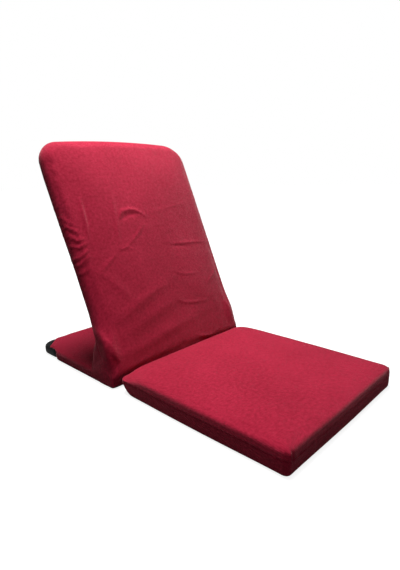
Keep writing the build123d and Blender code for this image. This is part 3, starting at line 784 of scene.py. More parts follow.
def finish_cover(name: str, form: Pillow, swelling: Swelling, to_row: Matrix,
                 relief: Callable[[Points, Points], Points]) -> tuple[Any, Points]:
    """Builds a cover: form, simulation, one subdivision, then its seams and creases.

    Args:
        name: the piece's name.
        form: the pillow in its own frame.
        swelling: how it is blown up.
        to_row: turns the own frame into the row frame.
        relief: from base points and normals, in the own frame, how far each point is lifted.

    Returns:
        The finished object and its points in the own frame, rings first.
    """
    base, faces, flat = form.build()
    thing = new_object(name, base, faces)
    lay_map(thing.data, flat)
    swollen = swelling.run(thing)
    fine = []
    for points in (base, swollen):
        set_points(thing.data, points)
        finer = thing.modifiers.new("finer", "SUBSURF")
        finer.levels = finer.render_levels = 1
        fine.append(plain_copy(thing))
        thing.modifiers.remove(finer)
    base_mesh, mesh = fine
    points = np.array([v.co for v in mesh.vertices])
    rest = np.array([v.co for v in base_mesh.vertices])
    lift = relief(rest, point_normals(base_mesh))
    points = points + point_normals(mesh) * lift[:, None]
    placed = in_row_frame(points, to_row)
    set_points(mesh, placed)
    mesh.shade_smooth()
    thing.data = mesh
    mesh.name = name
    return thing, placed[:len(base)]


def foam_block(name: str, form: Pillow, replaced: str, to_row: Matrix, body: str,
               material: Any) -> None:
    """Makes the foam under a cover, in the cover's own form.

    Args:
        name: the piece's name.
        form: the block in its own frame.
        replaced: the CAD node it stands for.
        to_row: turns the own frame into the row frame.
        body: the body it moves with.
        material: the foam's material.
    """
    points, faces, flat = form.build()
    block = new_object(name, in_row_frame(points, to_row), faces)
    lay_map(block.data, flat)
    block.data.shade_smooth()
    block.data.materials.append(material)
    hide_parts(replaced)
    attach(block, body)
    LOG.info("%s: %d points", name, len(points))


# ---- stitches -----------------------------------------------------------------------------
@dataclass
class StitchLine:
    """Lockstitch along a closed seam, made by Geometry Nodes."""

    name: str
    path: Points
    pitch: float = 4.2 * MM
    length: float = 3.2 * MM
    radius: float = 0.35 * MM
    seed: int = 4

    def tree(self, material: Any) -> Any:
        """The node tree: stitches set along a curve, each a short rounded thread.

        Args:
            material: the thread's material.

        Returns:
            The tree, with inputs Pitch, Length and Radius.
        """
        tree = bpy.data.node_groups.new(self.name, "GeometryNodeTree")
        face = tree.interface
        face.new_socket("Geometry", in_out="INPUT", socket_type="NodeSocketGeometry")
        for label in ("Pitch", "Length", "Radius"):
            face.new_socket(label, in_out="INPUT", socket_type="NodeSocketFloat")
        face.new_socket("Geometry", in_out="OUTPUT", socket_type="NodeSocketGeometry")
        given = add(tree, "NodeGroupInput")
        line = add(tree, "GeometryNodeMeshToCurve", inputs={"Mesh": (given, "Geometry")})
        even = add(tree, "GeometryNodeResampleCurve", {"mode": "LENGTH"},
                   {"Curve": (line, 0), "Length": (given, "Pitch")})
        along = add(tree, "GeometryNodeInputTangent")
        aim = add(tree, "FunctionNodeAlignRotationToVector", {"axis": "Z"},
                  {"Vector": (along, 0)})
        thread = add(tree, "GeometryNodeMeshCylinder", inputs={
            "Vertices": 6, "Side Segments": 2, "Radius": (given, "Radius"),
            "Depth": (given, "Length")})
        uneven = add(tree, "FunctionNodeRandomValue", {"data_type": "FLOAT"},
                     {"Min_001": 0.85, "Max_001": 1.08, "Seed": self.seed})
        laid = add(tree, "GeometryNodeInstanceOnPoints", inputs={
            "Points": (even, 0), "Instance": (thread, "Mesh"), "Rotation": (aim, 0),
            "Scale": (uneven, "Value_001")})
        real = add(tree, "GeometryNodeRealizeInstances", inputs={"Geometry": (laid, 0)})
        dressed = add(tree, "GeometryNodeSetMaterial", inputs={"Geometry": (real, 0)})
        dressed.inputs["Material"].default_value = material
        add(tree, "NodeGroupOutput", inputs={"Geometry": (dressed, 0)})
        return tree

    def build(self, material: Any) -> Any:
        """Builds the stitches as one plain mesh.

        Args:
            material: the thread's material.

        Returns:
            The object.
        """
        count = len(self.path)
        edges = [(n, (n + 1) % count) for n in range(count)]
        mesh = bpy.data.meshes.new(self.name)
        mesh.from_pydata([tuple(p) for p in self.path], edges, [])
        thing = put(self.name, mesh)
        worker = thing.modifiers.new("stitches", "NODES")
        worker.node_group = self.tree(material)
        values = {"Pitch": self.pitch, "Length": self.length, "Radius": self.radius}
        for item in worker.node_group.interface.items_tree:
            if item.in_out == "INPUT" and item.name in values:
                worker[item.identifier] = values[item.name]
        done = plain_copy(thing)
        thing.modifiers.remove(worker)
        thing.data = done
        done.name = self.name
        return thing


def sew(name: str, form: Pillow, points: Points, level: float, thread: Any,
        seed: int = StitchLine.seed) -> Any:
    """Sews a line of stitches round a cover.

    Args:
        name: the stitches' name.
        form: the cover's form.
        points: the cover's points, rings first.
        level: where the line runs, as the first number of the form's levels.
        thread: the stitches' material.
        seed: makes the stitches' lengths uneven.

    Returns:
        The stitches' object.
    """
    total = 4 * form.across
    first = int(np.argmin(np.abs(form.levels[:, 0] - level))) * total
    stitches = StitchLine(name, points[first:first + total], seed=seed).build(thread)
    return stitches


# ---- seat cushion -------------------------------------------------------------------------
@dataclass
class SeatCushion:
    """The thick seat cushion's cover: crowned top panel, lower panel, one seam round the side."""

    width: float = 461 * MM
    shift: float = -1.5 * MM
    depth: float = 472 * MM
    front_y: float = -428.5 * MM
    corner: float = 10 * MM
    corner_drop: float = 11 * MM
    foam_gap: float = 3.2 * MM
    draw_in: float = -1.5 * MM
    crown: float = 8 * MM
    seam: float = 31 * MM
    across: int = 84
    corner_tuck: float = 3.0 * MM
    corner_dimple: float = 2.4 * MM
    deepest: float = 2.2 * MM
    # Height, inset of front and sides, inset of the rear, in millimetres, top to bottom.
    section: tuple[tuple[float, float, float], ...] = (
        (51.5, 13.0, 27.0), (50.2, 6.5, 17.0), (45.8, 1.6, 8.5), (38.5, 0.4, 3.0),
        (33.5, 0.0, 0.6), (31.0, 0.0, 0.0), (28.5, 0.0, 0.4), (21.0, 0.0, 2.6),
        (12.0, 0.0, 7.5), (4.5, 0.6, 13.0), (1.2, 2.4, 17.5), (0.3, 5.5, 21.0),
    )

    def ring(self, level: Points, count: int) -> Points:
        """One ring of the cushion at a level of its section.

        Args:
            level: a row of the section.
            count: runs on each side.

        Returns:
            The ring's points.
        """
        height, side, rear = level * MM
        half = self.width / 2 - side
        low, high = self.front_y + side, self.front_y + self.depth - rear
        radius = max(self.corner - side * 0.4, 5 * MM)
        soft = min(radius + 8 * MM + rear * 0.9, 42 * MM)
        corners = [(-half, low, radius), (half, low, radius + 9 * MM), (half, high, soft),
                   (-half, high, soft)]
        plan = rounded_ring(corners, count, self.draw_in)
        return np.column_stack([plan[:, 0] + self.shift, plan[:, 1],
                                np.full(len(plan), height)])

    def pinch(self, points: Points) -> Points:
        """Draws the top's rear corners down to the seam, the left one most, as it sits.

        Args:
            points: points of the plain cushion.

        Returns:
            The points, moved.
        """
        x, y, z = points.T
        rear = self.front_y + self.depth
        gap = np.hypot(np.abs(x) - self.width / 2 + 4 * MM, (y - rear + 22 * MM) * 0.8)
        above = smooth_between(self.seam, 48 * MM, z)
        way = np.where(x < 0, 1.0, 0.2)
        drop = way * self.corner_drop * above * bell(gap, 34 * MM)
        return np.column_stack([x, y, z - drop])

    def foam_ring(self, level: Points, count: int) -> Points:
        """One ring of the foam block, just inside the cover's.

        Args:
            level: a row of the section.
            count: runs on each side.

        Returns:
            The ring's points.
        """
        ring = self.ring(level, count)
        shrink = 1 - 2 * self.foam_gap / np.array([self.width, self.depth])
        middle = np.array([0, self.front_y + self.depth / 2])
        return np.column_stack([(ring[:, :2] - middle) * shrink + middle,
                                ring[:, 2] - self.foam_gap])

    def foam(self, material: Any) -> None:
        """Makes the foam block over the seat tube, with the cover's crown and corners.

        Args:
            material: the foam's material.
        """
        upper = [row for row in self.section if row[0] > 27]
        rows = catmull([*upper, (26.5, 0.0, 1.0)], 1)
        form = Pillow(self.foam_ring, rows, 28, self.crown, self.pinch)
        foam_block("seat_foam_block", form, "seat_foam", Matrix.Identity(4), "base", material)

    def relief(self, rest: Points, normals: Points) -> Points:
        """The seam's groove and puckers, the front corner tucks and the top's slackness.

        Args:
            rest: the cover's points before the simulation, in the own frame.
            normals: their normals.

        Returns:
            How far each point is lifted, in metres.
        """
        x, y, z = rest.T
        around = np.arctan2(y - self.front_y - self.depth / 2, x)
        side = 1 - smooth_between(0.35, 0.75, np.abs(normals[:, 2]))
        over = z - self.seam
        groove = -0.6 * MM * bell(over, 1.3 * MM)
        welt = 0.3 * MM * bell(over - 3.2 * MM, 2.2 * MM)
        pucker = 0.28 * MM * np.sin(around * 150 + 1.3 * np.sin(around * 37)) * bell(over, 7 * MM)
        lift = side * (groove + welt + pucker)
        for way in (-1, 1):
            # The cover's corner is folded and sewn: a short upright tuck with a dimple above.
            gap = np.hypot(x - way * (self.width / 2 - 7 * MM), y - self.front_y - 5 * MM)
            near = bell(gap, 13 * MM) * side
            turned = np.arctan2(y - self.front_y - 16 * MM, way * x - self.width / 2 + 16 * MM)
            tuck = bell(turned + 0.95, 0.12) * smooth_between(10 * MM, 26 * MM, z)
            dimples = (bell(turned + 0.55, 0.16) + bell(turned + 1.3, 0.16)) * smooth_between(
                22 * MM, 36 * MM, z)
            lift += near * (self.corner_tuck * tuck - self.corner_dimple * dimples)
        top = smooth_between(0.6, 0.95, normals[:, 2])
        lift += top * 0.35 * MM * ripple(x, y, 11, 0.09)
        lift += top * 0.18 * MM * ripple(x, y * 0.5, 12, 0.028)
        return np.maximum(lift, -self.deepest)

    def build(self, cloth: Any, thread: Any) -> None:
        """Makes the cover and its stitches.

        Args:
            cloth: the cover's material.
            thread: the stitches' material.
        """
        form = Pillow(self.ring, catmull(self.section, 2), self.across, self.crown, self.pinch)
        swelling = Swelling(3.0, 2.2 * MM, 0.2 * MM, 0.004)
        cover, points = finish_cover("seat_cushion_cover", form, swelling,
                                     Matrix.Identity(4), self.relief)
        cover.data.materials.append(cloth)
        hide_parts("seat_cover_top", "seat_cover_lower")
        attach(cover, "base")
        LOG.info("seat cushion cover: %d points", len(cover.data.vertices))
        stitches = sew("seat_side_stitches", form, points, self.seam / MM + 3.5, thread)
        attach(stitches, "base")


# ---- tail panel ---------------------------------------------------------------------------
@dataclass
class TailPanel:
    """The flat padded tail behind the backrest, its rear corners cut for the black caps."""

    half_width: float = 239 * MM
    front_y: float = 59 * MM
    rear_y: float = 428.5 * MM
    cut: float = 50 * MM
    sag: float = 0.4 * MM
    nose: float = 6.5 * MM
    turn: float = 11 * MM
    opening: float = 13 * MM
    cap_start: float = 322 * MM
    cap_full: float = 350 * MM
    cap_inside: float = 130 * MM
    cap_outside: float = 160 * MM
    # The side is drawn in over a cap towards this place, (x, y).
    cap_aim: tuple[float, float] = (160 * MM, 345 * MM)
    across: int = 60
    deepest: float = 0.8 * MM
    # Height and inset of the outline, in millimetres, top to bottom.
    section: tuple[tuple[float, float], ...] = (
        (28.0, 10.0), (27.4, 6.2), (25.4, 3.0), (22.0, 0.8), (18.0, 0.0), (12.0, 0.0),
        (8.5, 0.0), (6.0, 0.3), (4.2, 0.6), (2.0, 1.6), (0.6, 4.0), (0.3, 7.0),
    )

    def ring(self, level: Points, count: int) -> Points:
        """One ring of the tail at a level: its sides, cut corners and straight ends.

        Args:
            level: a row of the section.
            count: runs on each side.

        Returns:
            The ring's points.
        """
        height, side = level * MM
        half, low, high = self.half_width - side, self.front_y + side, self.rear_y - side
        cut = self.cut - side * 0.59
        outline = [
            (-half, low), (half, low), (half, high - cut), (half - cut, high),
            (-half + cut, high), (-half, high - cut),
        ]
        # Each of the four sides starts at the middle of a corner or of its cut.
        starts = [(-half, low), (half, low), (half - cut / 2, high - cut / 2),
                  (-half + cut / 2, high - cut / 2)]
        inner = [[], [outline[2]], [outline[3], outline[4]], [outline[5]]]
        points = []
        for index in range(4):
            run = np.array([starts[index], *inner[index], starts[(index + 1) % 4]])
            points.append(spread(run, count)[0])
        plan = np.vstack(points)
        return np.column_stack([plan, np.full(len(plan), height)])

    def settle(self, points: Points) -> Points:
        """Shapes the tail: rounded front end, open rear corners, a slack middle.

        Args:
            points: points of the plain panel.

        Returns:
            The points, sides drawn in where the caps show, top let down between the rails.
        """
        x, y, z = points.T
        # The front corners turn in plan, and the front edge turns up off the floor.
        out, ahead = np.abs(x) - self.half_width + self.turn, self.front_y + self.turn - y
        corner, keep = round_corner(out, ahead)
        x = np.where(corner, np.sign(x) * (self.half_width - self.turn + out * keep), x)
        y = np.where(corner, self.front_y + self.turn - ahead * keep, y)
        low, ahead = self.nose - z, self.front_y + self.nose - y
        corner, keep = round_corner(low, ahead)
        z = np.where(corner, self.nose - low * keep, z)
        y = np.where(corner, self.front_y + self.nose - ahead * keep, y)
        # The side is held in over the caps, so that their sleeves show below the top panel.
        reach = smooth_between(self.cap_start, self.cap_full, y) * smooth_between(
            self.cap_inside, self.cap_outside, np.abs(x))
        reach = reach * (1 - 0.65 * smooth_between(17 * MM, 27 * MM, z)) * self.opening
        aim = np.stack([np.sign(x) * self.cap_aim[0] - x, self.cap_aim[1] - y], 1)
        aim = aim / np.maximum(np.linalg.norm(aim, axis=1), TINY)[:, None]
        x, y = x + aim[:, 0] * reach, y + aim[:, 1] * reach
        inside = 1 - smooth_between(0.17, 0.215, np.abs(x))
        between = smooth_between(self.front_y, self.front_y + 0.09, y) * (
            1 - smooth_between(self.rear_y - 0.05, self.rear_y - 0.01, y))
        return np.column_stack([x, y, z - self.sag * inside * between * (z > 20 * MM)])

    def relief(self, rest: Points, normals: Points) -> Points:
        """The side seam with its puckers, and the slack of the top.

        Args:
            rest: the cover's points before the simulation, in the own frame.
            normals: their normals.

        Returns:
            How far each point is lifted, in metres.
        """
        x, y, z = rest.T
        side = 1 - smooth_between(0.35, 0.75, np.abs(normals[:, 2]))
        top = smooth_between(0.6, 0.95, normals[:, 2])
        lift = side * -0.7 * MM * bell(z - 6 * MM, 1.4 * MM)
        lift += side * 0.5 * MM * bell(z - 9.5 * MM, 2 * MM)
        lift += side * 0.22 * MM * np.sin(y * 620 + x * 560)
        lift += top * 0.7 * MM * ripple(x, y, 21, 0.12)
        lift += top * 0.2 * MM * ripple(x, y, 22, 0.03)
        return np.maximum(lift, -self.deepest)

    def build(self, cloth: Any, thread: Any) -> None:
        """Makes the tail's cover and its stitches.

        Args:
            cloth: the cover's material.
            thread: the stitches' material.
        """
        form = Pillow(self.ring, catmull(self.section, 2), self.across, 0.0, self.settle)
        swelling = Swelling(1.5, 1.2 * MM, 0.2 * MM, 0.004)
        cover, points = finish_cover("tail_cover", form, swelling, Matrix.Identity(4),
                                     self.relief)
        cover.data.materials.append(cloth)
        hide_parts("tail_cover_top", "tail_cover_bottom")
        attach(cover, "base")
        LOG.info("tail cover: %d points", len(cover.data.vertices))
        stitches = sew("tail_side_stitches", form, points, 9.5, thread, seed=7)
        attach(stitches, "base")


@dataclass
class CapSleeve:
    """The visible outer shell of a corner cap, swept along the rail and round its bend."""

    rail_x: float = 223.6 * MM
    bend_y: float = 383.5 * MM
    bend: float = 29.8 * MM
    start_y: float = 336 * MM
    end_x: float = 150 * MM
    centre_z: float = 12.9 * MM
    radius: float = 12.2 * MM
    fullness: float = 0.62
    sides: int = 32

    def path(self) -> Points:
        """The sleeve's middle line in plan, from the side to the rear.

        Returns:
            Rows of x, y and heading.
        """
        steps = 12
        rows = [(self.rail_x, y, math.pi / 2)
                for y in np.linspace(self.start_y, self.bend_y, 9)[:-1]]
        for step in range(steps + 1):
            angle = math.pi / 2 * step / steps
            rows.append((self.rail_x - self.bend + self.bend * math.cos(angle),
                         self.bend_y + self.bend * math.sin(angle), math.pi / 2 + angle))
        rows += [(x, self.bend_y + self.bend, math.pi)
                 for x in np.linspace(self.rail_x - self.bend, self.end_x, 7)[1:]]
        return np.array(rows)

    def build(self, way: int, material: Any) -> None:
        """Makes the sleeve on one side.

        Args:
            way: 1 for the right side, -1 for the left.
            material: the cap's material.
        """
        line = self.path()
        points, faces = [], []
        last = len(line) - 1
        for number, (x, y, heading) in enumerate(line):
            lip = min(number, last - number)
            size = self.radius * (0.8 if lip == 0 else 0.97 if lip == 1 else 1.0)
            for side in range(self.sides):
                angle = 2 * math.pi * side / self.sides
                c, s = math.cos(angle), math.sin(angle)
                out = size * math.copysign(abs(c) ** self.fullness, c)
                rise = size * math.copysign(abs(s) ** self.fullness, s)
                points.append((way * (x + out * math.sin(heading)),
                               y - out * math.cos(heading), self.centre_z + rise))
        for number in range(last):
            for side in range(self.sides):
                here, there = number * self.sides, (number + 1) * self.sides
                after = (side + 1) % self.sides
                faces.append([here + side, here + after, there + after, there + side][::way])
        ends = [list(range(self.sides))[::-1],
                list(range(last * self.sides, (last + 1) * self.sides))]
        faces += [end[::way] for end in ends]
        side_name = "right" if way > 0 else "left"
        sleeve = new_object(f"corner_cap_sleeve_{side_name}", np.array(points), faces)
        sleeve.data.shade_smooth()
        sleeve.data.materials.append(material)
        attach(sleeve, "base")
        LOG.info("corner cap sleeve, %s", side_name)


# ---- backrest -----------------------------------------------------------------------------
@dataclass
class Backrest:
    """The backrest's cover, from its arched top down to the floor in front of the tail."""

    axis_y: float = 102.5 * MM
    axis_z: float = 85 * MM
    recline: float = 24.0
    top: float = 558 * MM
    foot: float = -84 * MM
    half_low: float = 238 * MM
    half_top: float = 239.5 * MM
    corner_left: float = 54 * MM
    corner_right: float = 62 * MM
    arch: float = 9 * MM
    rear: float = 14.5 * MM
    crown: float = 7 * MM
    seam_behind: float = 3 * MM
    skirt_top: float = 36 * MM
    skirt_low: float = -38 * MM
    skirt_depth: float = 62 * MM
    hinge_bulge: float = 6 * MM
    # Half the width over the brackets, and where the widening to it starts.
    bracket_room: float = 238.5 * MM
    bracket_inside: float = 195 * MM
    foot_corner: float = 12 * MM
    fold_gain: float = 1.35
    gather: float = 0.8 * MM
    deepest: float = 1.6 * MM
    # Up from the axis in metres, and how far the left side runs out there, as a share.
    left_run: tuple[tuple[float, float], ...] = (
        (-0.1, 0.0), (0.045, 0.0), (0.1, -0.014), (0.22, -0.012), (0.35, 0.003),
        (0.46, 0.012), (0.56, 0.0),
    )
    right_share: float = 1.006
    # Heights up the slope where the gathers start, are full, lessen and end.
    gather_span: tuple[float, float, float, float] = (0.12, 0.2, 0.36, 0.44)
    # Two places on the cover, which nothing reads: the cover does not move with the base or the
    # back.
    blend_low: tuple[float, float, float] = (0, 0.1, 0.034)
    blend_high: tuple[float, float, float] = (0, 0.1, 0.112)
    across: int = 88
    # Distance ahead of the frame's centre plane and inset of the outline, front to rear.
    section: tuple[tuple[float, float], ...] = (
        (23.0, 33.0), (21.9, 23.0), (18.8, 13.2), (14.3, 6.4), (8.8, 2.2), (3.6, 0.4),
        (0.0, 0.0), (-3.0, 0.3), (-6.0, 1.5), (-9.2, 4.2), (-11.8, 8.0), (-13.6, 13.0),
        (-14.5, 19.0),
    )
    # The foam pad's levels: what of the cover's it has left under the cloth.
    pad_section: tuple[tuple[float, float], ...] = (
        (20.0, 37.0), (18.9, 27.0), (16.2, 18.0), (13.6, 13.0), (12.0, 11.5), (11.0, 13.0),
    )
    # Folds seen in the photograph, on the front face: across and up from the hinge axis.
    creases: tuple[Crease, ...] = (
        Crease(((-86, 322), (-69, 340), (-43, 345), (-17, 339), (8, 322)), 1.7, 4.5),
        Crease(((-80, 318), (-52, 328), (-22, 330)), -1.0, 5.0),
        Crease(((-180, 384), (-183, 355), (-185, 318), (-191, 286)), 2.0, 5.0),
        Crease(((-170, 380), (-173, 350), (-176, 318)), -0.8, 6.0),
        Crease(((-82, 395), (-92, 348), (-96, 309), (-108, 250)), 0.8, 7.0),
        Crease(((-92, 241), (-53, 264), (-7, 300)), 0.9, 4.5),
        Crease(((-118, 234), (-166, 204), (-190, 187)), 0.8, 6.0),
        Crease(((62, 231), (147, 226), (228, 220)), 0.9, 4.0),
        Crease(((58, 226), (96, 221), (135, 213)), -0.8, 5.0),
        Crease(((46, 150), (75, 138), (131, 129)), 0.9, 4.0),
        Crease(((25, 70), (55, 55), (135, 44)), 0.9, 4.5),
        Crease(((59, -44), (88, -56), (132, -62)), 1.4, 6.0),
        Crease(((157, 91), (205, 118), (222, 134)), 1.0, 4.5),
        Crease(((-240, 66), (-232, 28), (-214, -14)), 2.0, 4.5),
        Crease(((-238, 34), (-230, 0), (-212, -34)), 1.6, 4.5),
        Crease(((-181, 64), (-124, 82), (-42, 113), (25, 132)), 1.3, 13.0),
        Crease(((-146, 23), (-50, 58), (48, 78)), 1.3, 14.0),
        Crease(((-216, -26), (-136, -18), (-15, 1), (107, 20)), 1.5, 15.0),
        Crease(((-198, 199), (-158, 159), (-118, 97)), 1.0, 12.0),
        Crease(((22, 327), (113, 342), (166, 348)), 0.5, 5.0),
        Crease(((-116, 239), (-89, 242), (-66, 232)), 0.8, 4.5),
        Crease(((-240, 330), (-228, 312), (-212, 298)), 1.2, 4.5),
        Crease(((-238, 300), (-222, 280), (-196, 281)), 1.4, 4.5),
        Crease(((-238, 272), (-222, 262), (-196, 272)), 1.3, 4.0),
        Crease(((-240, 236), (-226, 238), (-200, 252)), 1.5, 4.0),
        Crease(((-240, 216), (-226, 222), (-200, 240)), 1.3, 4.0),
        Crease(((-240, 350), (-230, 330), (-218, 322)), 1.0, 4.0),
        Crease(((-240, 196), (-226, 200), (-210, 208)), 1.0, 4.0),
    )

    def to_row(self) -> Matrix:
        """The turn from the own frame (across, up the slope, ahead) to the row frame.

        Returns:
            The matrix, with the hinge axis as the own frame's origin.
        """
        lean = math.radians(self.recline)
        c, s = math.cos(lean), math.sin(lean)
        return Matrix(((1, 0, 0, 0), (0, s, -c, self.axis_y), (0, c, s, self.axis_z),
                       (0, 0, 0, 1)))

    def ring(self, level: Points, count: int) -> Points:
        """One ring of the panel: tapered sides, round top corners, arched top.

        Args:
            level: a row of the section.
            count: runs on each side.

        Returns:
            The ring's points.
        """
        ahead, side = level * MM
        foot = self.foot + side * (1.1 if ahead > 0 else 0.2)
        top = self.top - side
        half_foot, half_top = self.half_low - side, self.half_top - side
        # The right front edge is pulled tighter than the left one.
        taut = 0.78 * side if ahead > 0 else 0.0
        left, right = self.corner_left - side, self.corner_right - side
        corners = [(-half_foot, foot, self.foot_corner),
                   (half_foot + taut, foot, self.foot_corner),
                   (half_top + taut, top - self.arch, right),
                   (-half_top, top - self.arch, left)]
        plan = rounded_ring(corners, count, 0.0)
        bow = np.clip(1 - (plan[:, 0] / (half_top - left * 0.3)) ** 2, 0, 1)
        high = smooth_between(top - self.arch - left, top - self.arch, plan[:, 1])
        plan[:, 1] += self.arch * bow * high
        return np.column_stack([plan, np.full(len(plan), ahead)])

    def hinge_room(self, points: Points) -> Points:
        """Lets the low end of the form out round the hinge brackets and down to the tail.

        Args:
            points: points of the plain panel in the own frame.

        Returns:
            The points, those behind drawn back into a skirt, those in front let out a little.
        """
        x, up, ahead = points.T
        skirt = np.clip((self.skirt_top - up) / (self.skirt_top - self.skirt_low), 0, 1)
        depth = self.rear + self.skirt_depth * skirt ** 1.15
        behind = -self.seam_behind + (ahead + self.seam_behind) * (
            depth - self.seam_behind) / (self.rear - self.seam_behind)
        lean = math.radians(self.recline)
        floor = (2 * MM - self.axis_z - up * math.cos(lean)) / math.sin(lean)
        behind = np.minimum(np.maximum(behind, floor), -self.seam_behind)
        near = smooth_between(0.19, 0.225, np.abs(x)) * bell(up, 38 * MM)
        front = ahead + self.hinge_bulge * near * smooth_between(4 * MM, 16 * MM, ahead)
        placed = np.where(ahead < -self.seam_behind, behind, front)
        # The left side runs in towards the hinge, as the cover is pulled on this chair.
        drawn = np.interp(up, *zip(*self.left_run))
        share = np.where(x < 0, 1 + drawn, self.right_share)
        # The skirt keeps its full width back over the brackets.
        wide = smooth_between(self.bracket_inside, 0.218, np.abs(x)) * smooth_between(
            0.0, 0.25, skirt) * (ahead < -self.seam_behind)
        # In front of them the edge is less round, to cover more of them when folded.
        wide = wide + smooth_between(self.bracket_inside, 0.21, np.abs(x)) * bell(
            up, 40 * MM) * (ahead > 0) * (1 - smooth_between(14 * MM, 23 * MM, ahead))
        x = x + np.sign(x) * 0.85 * wide * np.maximum(self.bracket_room - np.abs(x), 0)
        return np.column_stack([x * share, up, placed])

    def relief(self, rest: Points, normals: Points) -> Points:
        """The cover's folds, its slackness, and the gathers along its left and right edges.

        Args:
            rest: the cover's points before the simulation, in the own frame.
            normals: their normals.

        Returns:
            How far each point is lifted, in metres.
        """
        x, up, ahead = rest.T
        face = smooth_between(0.5, 0.9, normals[:, 2])
        lift = face * 0.6 * MM * ripple(x, up * 0.8, 31, 0.16)
        lift += face * 0.22 * MM * ripple(x, up, 32, 0.035)
        wide = smooth_between(-0.1, 0.35, normals[:, 2])
        for crease in self.creases:
            lift += wide * self.fold_gain * crease.lift(x, up)
        side = 1 - smooth_between(0.35, 0.8, np.abs(normals[:, 2]))
        lift += side * -0.6 * MM * bell(ahead + self.seam_behind, 1.4 * MM)
        # Short ruched folds where the cloth is gathered round the frame, at mid height.
        start, full, less, end = self.gather_span
        gathered = smooth_between(start, full, up) * (1 - smooth_between(less, end, up))
        edge = smooth_between(0.19, 0.225, np.abs(x)) * (ahead > -8 * MM)
        slant = (up - 0.8 * (np.abs(x) - 0.24) * np.sign(x)) * 400
        wave = np.sin(slant + 2.6 * np.sin(up * 61) + 1.4 * np.sin(up * 147))
        size = 0.6 + 0.4 * np.sin(up * 83 + 1.0)
        lift += gathered * edge * size * self.gather * np.maximum(wave, 0) ** 1.5
        return np.maximum(lift, -self.deepest)

    def pad(self, material: Any) -> None:
        """Makes the foam pad in front of the frame.

        Args:
            material: the foam's material.
        """
        inside = Backrest(foot=-6 * MM, top=self.top - 2 * MM)
        form = Pillow(inside.ring, catmull(self.pad_section, 1), 30, self.crown,
                      self.hinge_room)
        foam_block("back_foam_pad", form, "back_pad", self.to_row(), "back", material)

    def build(self, cloth: Any, thread: Any) -> None:
        """Makes the backrest's cover and its stitches.

        Args:
            cloth: the cover's material.
            thread: the stitches' material.
        """
        form = Pillow(self.ring, catmull(self.section, 2), self.across, self.crown,
                      self.hinge_room)
        swelling = Swelling(3.0, 3.0 * MM, 0.2 * MM, 0.012)
        cover, points = finish_cover("backrest_cover", form, swelling, self.to_row(),
                                     self.relief)
        cover.data.materials.append(cloth)
        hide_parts("back_cover_front", "back_cover_rear", "hinge_boot_left",
                    "hinge_boot_right", "gusset_front", "gusset_rear")
        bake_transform(cover)
        LOG.info("backrest cover: %d points", len(cover.data.vertices))
        stitches = sew("backrest_side_stitches", form, points, -5.5, thread, seed=9)
        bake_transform(stitches)


# ---- the CAD pieces that stay -------------------------------------------------------------
@dataclass
class InnerPieces:
    """Finishes for the frame, hinges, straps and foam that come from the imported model."""

    def uv_from_place(self, thing: Any, turned: bool) -> None:
        """Lays a strap's cloth map.

        Args:
            thing: the straps.
            turned: whether they lie flat, so that y is along their width, and not z.
        """
        mesh = thing.data
        places = np.array([v.co for v in mesh.vertices])
        corner = np.array([loop.vertex_index for loop in mesh.loops])
        lay_map(mesh, places[corner][:, [0, 1 if turned else 2]])

    def dress(self) -> None:
        """Gives every CAD node that is kept its finish."""
        plan = {
            CAP_PLASTIC: ("corner_cap_left", "corner_cap_right", "rail_end_plugs"),
            FRAME_PAINT: ("seat_tube", "tail_tube", "cross_tube", "back_tube",
                          "back_rung_lower", "back_rung_upper", "hinge_bracket_left",
                          "hinge_bracket_right"),
            ZINC: ("bracket_rivets", "pivot_bolt_left", "pivot_bolt_right", "pivot_nut_left",
                   "pivot_nut_right", "stop_pins"),
            NYLON: ("pivot_washers",),
            FOAM: ("tail_pad",),
            WEBBING: ("tail_webbing", "back_webbing"),
        }
        for finish, names in plan.items():
            material = finish.material()
            for name in names:
                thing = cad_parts[name]
                if finish is WEBBING:
                    self.uv_from_place(thing, name == "tail_webbing")
                thing.data.materials.clear()
                thing.data.materials.append(material)
            LOG.info("%s on %s", finish.name, ", ".join(names))


